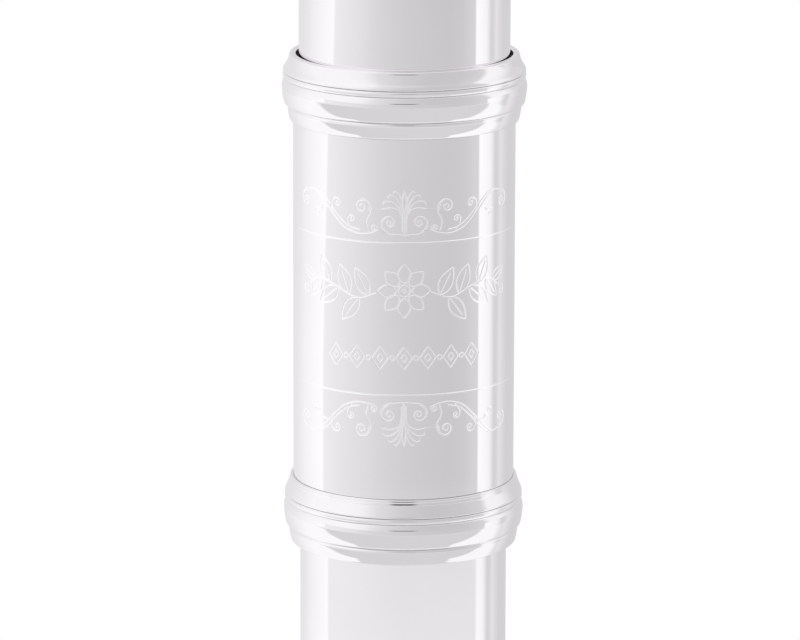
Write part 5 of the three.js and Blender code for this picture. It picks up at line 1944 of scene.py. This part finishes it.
@dataclass(frozen=True)
class Studio:
    """A white studio: soft walls of light round the flute, a pale floor and the camera."""

    distance: float = 0.56
    elevation: float = 12.9
    target: tuple[float, float, float] = (-0.00036, 0.0, 0.4649)
    lens: float = 264.0
    roll: float = 0.15
    floor_radius: float = 0.45
    floor_colour: str = "#e6e5e8"
    # Brightness of the room by azimuth in degrees, 0 behind the camera and + to its right: first from the
    # floor up to the top of the grey card in front, then above it.
    walls: tuple[tuple[float, float], ...] = (
        (-180, 0.80), (-153, 0.82), (-136, 0.87), (-124, 0.94), (-105, 1.01), (-89, 1.06),
        (-87, 0.91), (-70, 0.86), (-58, 0.825), (-46, 0.79), (-25, 0.72), (0, 0.665), (27, 0.635),
        (49, 0.62), (66, 0.645), (78, 0.70), (83, 0.71), (85, 1.06), (94, 1.02), (101, 0.97), (109, 0.70),
        (113, 0.71), (119, 0.82), (127, 0.74), (136, 0.68), (180, 0.68),
    )  # fmt: skip
    above: tuple[tuple[float, float], ...] = (
        (-180, 0.72), (-130, 0.86), (-100, 1.0), (-60, 1.0), (-42, 0.95), (-26, 0.78), (0, 0.66), (30, 0.6),
        (60, 0.62), (84, 0.70), (92, 0.98), (110, 0.95), (130, 0.72), (180, 0.70),
    )  # fmt: skip
    card_top: float = 5.0  # the grey card in front ends at this elevation, in degrees
    card_tint: tuple[float, float, float] = (1.004, 0.988, 1.012)
    below: tuple[float, float] = (0.91, 0.835)  # brightness of the table's top edge: its left, its middle
    table_front: float = 0.70  # brightness of the table's front, under that edge
    table_top: float = -14.4
    # Half the table's width in degrees, at its top and 20 degrees under it.
    table_ends: tuple[float, float] = (90.0, 52.0)
    card_lean: tuple[float, float] = (5.0, -8.0)  # how far its left edge leans, at its foot and its top
    lens_half: tuple[float, float] = (12.0, 2.2)  # half the dark camera's width and height, in degrees

    def light(self) -> None:
        """The world: white to the camera, and the walls of the studio to everything else."""
        world = bpy.data.worlds.new("studio")
        world.use_nodes = True
        bpy.context.scene.world = world
        tree = world.node_tree
        tree.nodes.clear()

        def node(kind: str, values: dict | None = None, **settings: object) -> bpy.types.Node:
            """Add a node to the world."""
            return add_node(tree, kind, values, **settings)

        def math_node(kind: str, *inputs: object) -> bpy.types.NodeSocket:
            """Add a Math node and return its result."""
            return node("Math", dict(enumerate(inputs)), operation=kind).outputs[0]

        def ramp(
            share: bpy.types.NodeSocket, values: tuple[tuple[float, float], ...]
        ) -> bpy.types.NodeSocket:
            """Add a ramp over the azimuth and return its colour."""
            made = node("ValToRGB", {"Fac": share})
            stops = made.color_ramp.elements
            while len(stops) < len(values):
                stops.new(0.5)
            for stop, (azimuth, value) in zip(stops, values):
                stop.position = (azimuth + 180) / 360
                stop.color = (*(value * tint for tint in self.card_tint), 1)
            return made.outputs[0]

        def step(value: bpy.types.NodeSocket, low: float, high: float) -> bpy.types.NodeSocket:
            """A soft step from 0 to 1 as the value goes from low to high, in degrees."""
            limits = {"Value": value, "From Min": math.radians(low), "From Max": math.radians(high)}
            return node("MapRange", limits, interpolation_type="SMOOTHSTEP").outputs[0]

        def between(
            value: bpy.types.NodeSocket, degrees: tuple[float, float], ends: tuple[float, float]
        ) -> bpy.types.NodeSocket:
            """A straight slope from the first end to the second as the value goes between two angles."""
            limits = {"From Min": math.radians(degrees[0]), "From Max": math.radians(degrees[1])}
            limits |= {"To Min": ends[0], "To Max": ends[1]}
            return node("MapRange", {"Value": value, **limits}).outputs[0]

        def mix(share: bpy.types.NodeSocket, first: object, second: object) -> bpy.types.NodeSocket:
            """Mix two colours."""
            return node("Mix", {0: share, 6: first, 7: second}, data_type="RGBA").outputs[2]

        parts = node("SeparateXYZ", {0: node("TexCoord").outputs["Generated"]})
        turn = math_node("ARCTAN2", parts.outputs["X"], math_node("MULTIPLY", parts.outputs["Y"], -1.0))
        rise = math_node("ARCSINE", parts.outputs["Z"])
        fall = math_node("MULTIPLY", rise, -1.0)
        lean = between(rise, (-13.3, -9.3), tuple(math.radians(a) for a in self.card_lean))
        on_left = step(math_node("MULTIPLY", turn, -1.0), 35.0, 50.0)
        leant = math_node("ADD", turn, math_node("MULTIPLY", lean, on_left))
        card = ramp(between(leant, (-180, 180), (0, 1)), self.walls)
        high = ramp(between(turn, (-180, 180), (0, 1)), self.above)
        under = -self.table_top
        table = step(fall, under, under + 1.0)
        down = between(fall, (under, under + 20), (0, 1))
        wide, narrow = (math.radians(a) for a in self.table_ends)
        narrowing = math_node("MULTIPLY", math_node("MULTIPLY", down, down), wide - narrow)
        half = math_node("SUBTRACT", wide, narrowing)
        outside = math_node("SUBTRACT", math_node("ABSOLUTE", turn), half)
        in_front = math_node("SUBTRACT", 1.0, step(outside, -3.0, 3.0))
        left, middle = ((*(value * t for t in self.card_tint), 1) for value in self.below)
        edge = mix(between(turn, (-80, 0), (0, 1)), left, middle)
        face = (*(self.table_front * t for t in self.card_tint), 1)
        front = mix(step(fall, under + 2.2, under + 4.5), edge, face)
        wings = math_node("SUBTRACT", 1.0, step(math_node("ABSOLUTE", turn), 98.0, 122.0))
        wings = math_node("MULTIPLY", wings, step(fall, under + 3.0, under + 6.0))
        sides = mix(wings, card, (1.02, 1.02, 1.02, 1))
        low = mix(table, card, mix(in_front, sides, front))
        room = mix(step(rise, self.card_top - 1.0, self.card_top + 1.0), low, high)
        room = mix(step(rise, 50.0, 80.0), room, (0.96, 0.96, 0.965, 1))
        lens_wide, lens_tall = self.lens_half
        off = math_node("ABSOLUTE", math_node("SUBTRACT", rise, math.radians(self.elevation)))
        lens = math_node(
            "MULTIPLY",
            math_node("SUBTRACT", 1.0, step(math_node("ABSOLUTE", turn), lens_wide - 5, lens_wide + 5)),
            math_node("SUBTRACT", 1.0, step(off, lens_tall - 1.6, lens_tall + 1.6)),
        )
        colour = mix(lens, room, (0.14, 0.14, 0.145, 1))
        studio = node("Background", {"Color": colour, "Strength": 1.0})
        plain = node("Background", {"Color": (1, 1, 1, 1), "Strength": 1.0})
        seen = node("LightPath").outputs["Is Camera Ray"]
        mixed = node("MixShader", {0: seen, 1: studio.outputs[0], 2: plain.outputs[0]})
        node("OutputWorld", {"Surface": mixed.outputs[0]})

    def floor(self) -> None:
        """A pale round floor that fades into the white of the room."""
        rings = [(self.floor_radius * k / 24, 0.0) for k in range(25)]
        shell = lathe([(r / MM, z) for r, z in rings], segments=96)
        floor = bpy.data.objects.new("studio_floor", mesh_of("studio_floor", shell, Station()))
        floor.location.z = -0.0002
        bpy.context.scene.collection.objects.link(floor)
        recipe = Recipe("studio_floor_paper")
        place = recipe.node("TexCoord").outputs["Object"]
        length = recipe.node("VectorMath", {0: place}, operation="LENGTH").outputs["Value"]
        limits = {"From Min": self.floor_radius * 0.25, "From Max": self.floor_radius}
        fade = recipe.node("MapRange", {"Value": length, **limits}, interpolation_type="SMOOTHSTEP")
        lit = recipe.node("BsdfDiffuse", {"Color": linear(self.floor_colour)})
        white = recipe.node("Emission", {"Color": (1, 1, 1, 1), "Strength": 1.0})
        mixed = recipe.node("MixShader", {0: fade.outputs[0], 1: lit.outputs[0], 2: white.outputs[0]})
        floor.data.materials.append(recipe.finish(mixed))

    def camera(self) -> None:
        """The camera, level with the barrel and a little above it."""
        data = bpy.data.cameras.new("camera")
        data.lens, data.sensor_width = self.lens, 36.0
        data.clip_start, data.clip_end = 0.01, 20.0
        camera = bpy.data.objects.new("camera", data)
        bpy.context.scene.collection.objects.link(camera)
        rise = math.radians(self.elevation)
        away = Vector((0, -math.cos(rise), math.sin(rise)))
        camera.location = Vector(self.target) + away * self.distance
        level = (-away).to_track_quat("-Z", "Y")
        camera.rotation_euler = (level @ Quaternion((0, 0, 1), math.radians(self.roll))).to_euler()
        bpy.context.scene.camera = camera

    def build(self) -> None:
        """Set up the studio."""
        self.light()
        self.floor()
        self.camera()
        bpy.context.scene.view_settings.view_transform = "Standard"


def main() -> None:
    """Build the flute and its studio in order."""
    logging.basicConfig(level=logging.INFO, format="%(name)s: %(message)s", stream=sys.stdout)
    Studio().build()
    Barrel().build()
    HeadJoint().build()
    BodyJoint().build()
    KeyWork().build()
    FootJoint().build()
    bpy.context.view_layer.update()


if __name__ == "__main__":
    main()
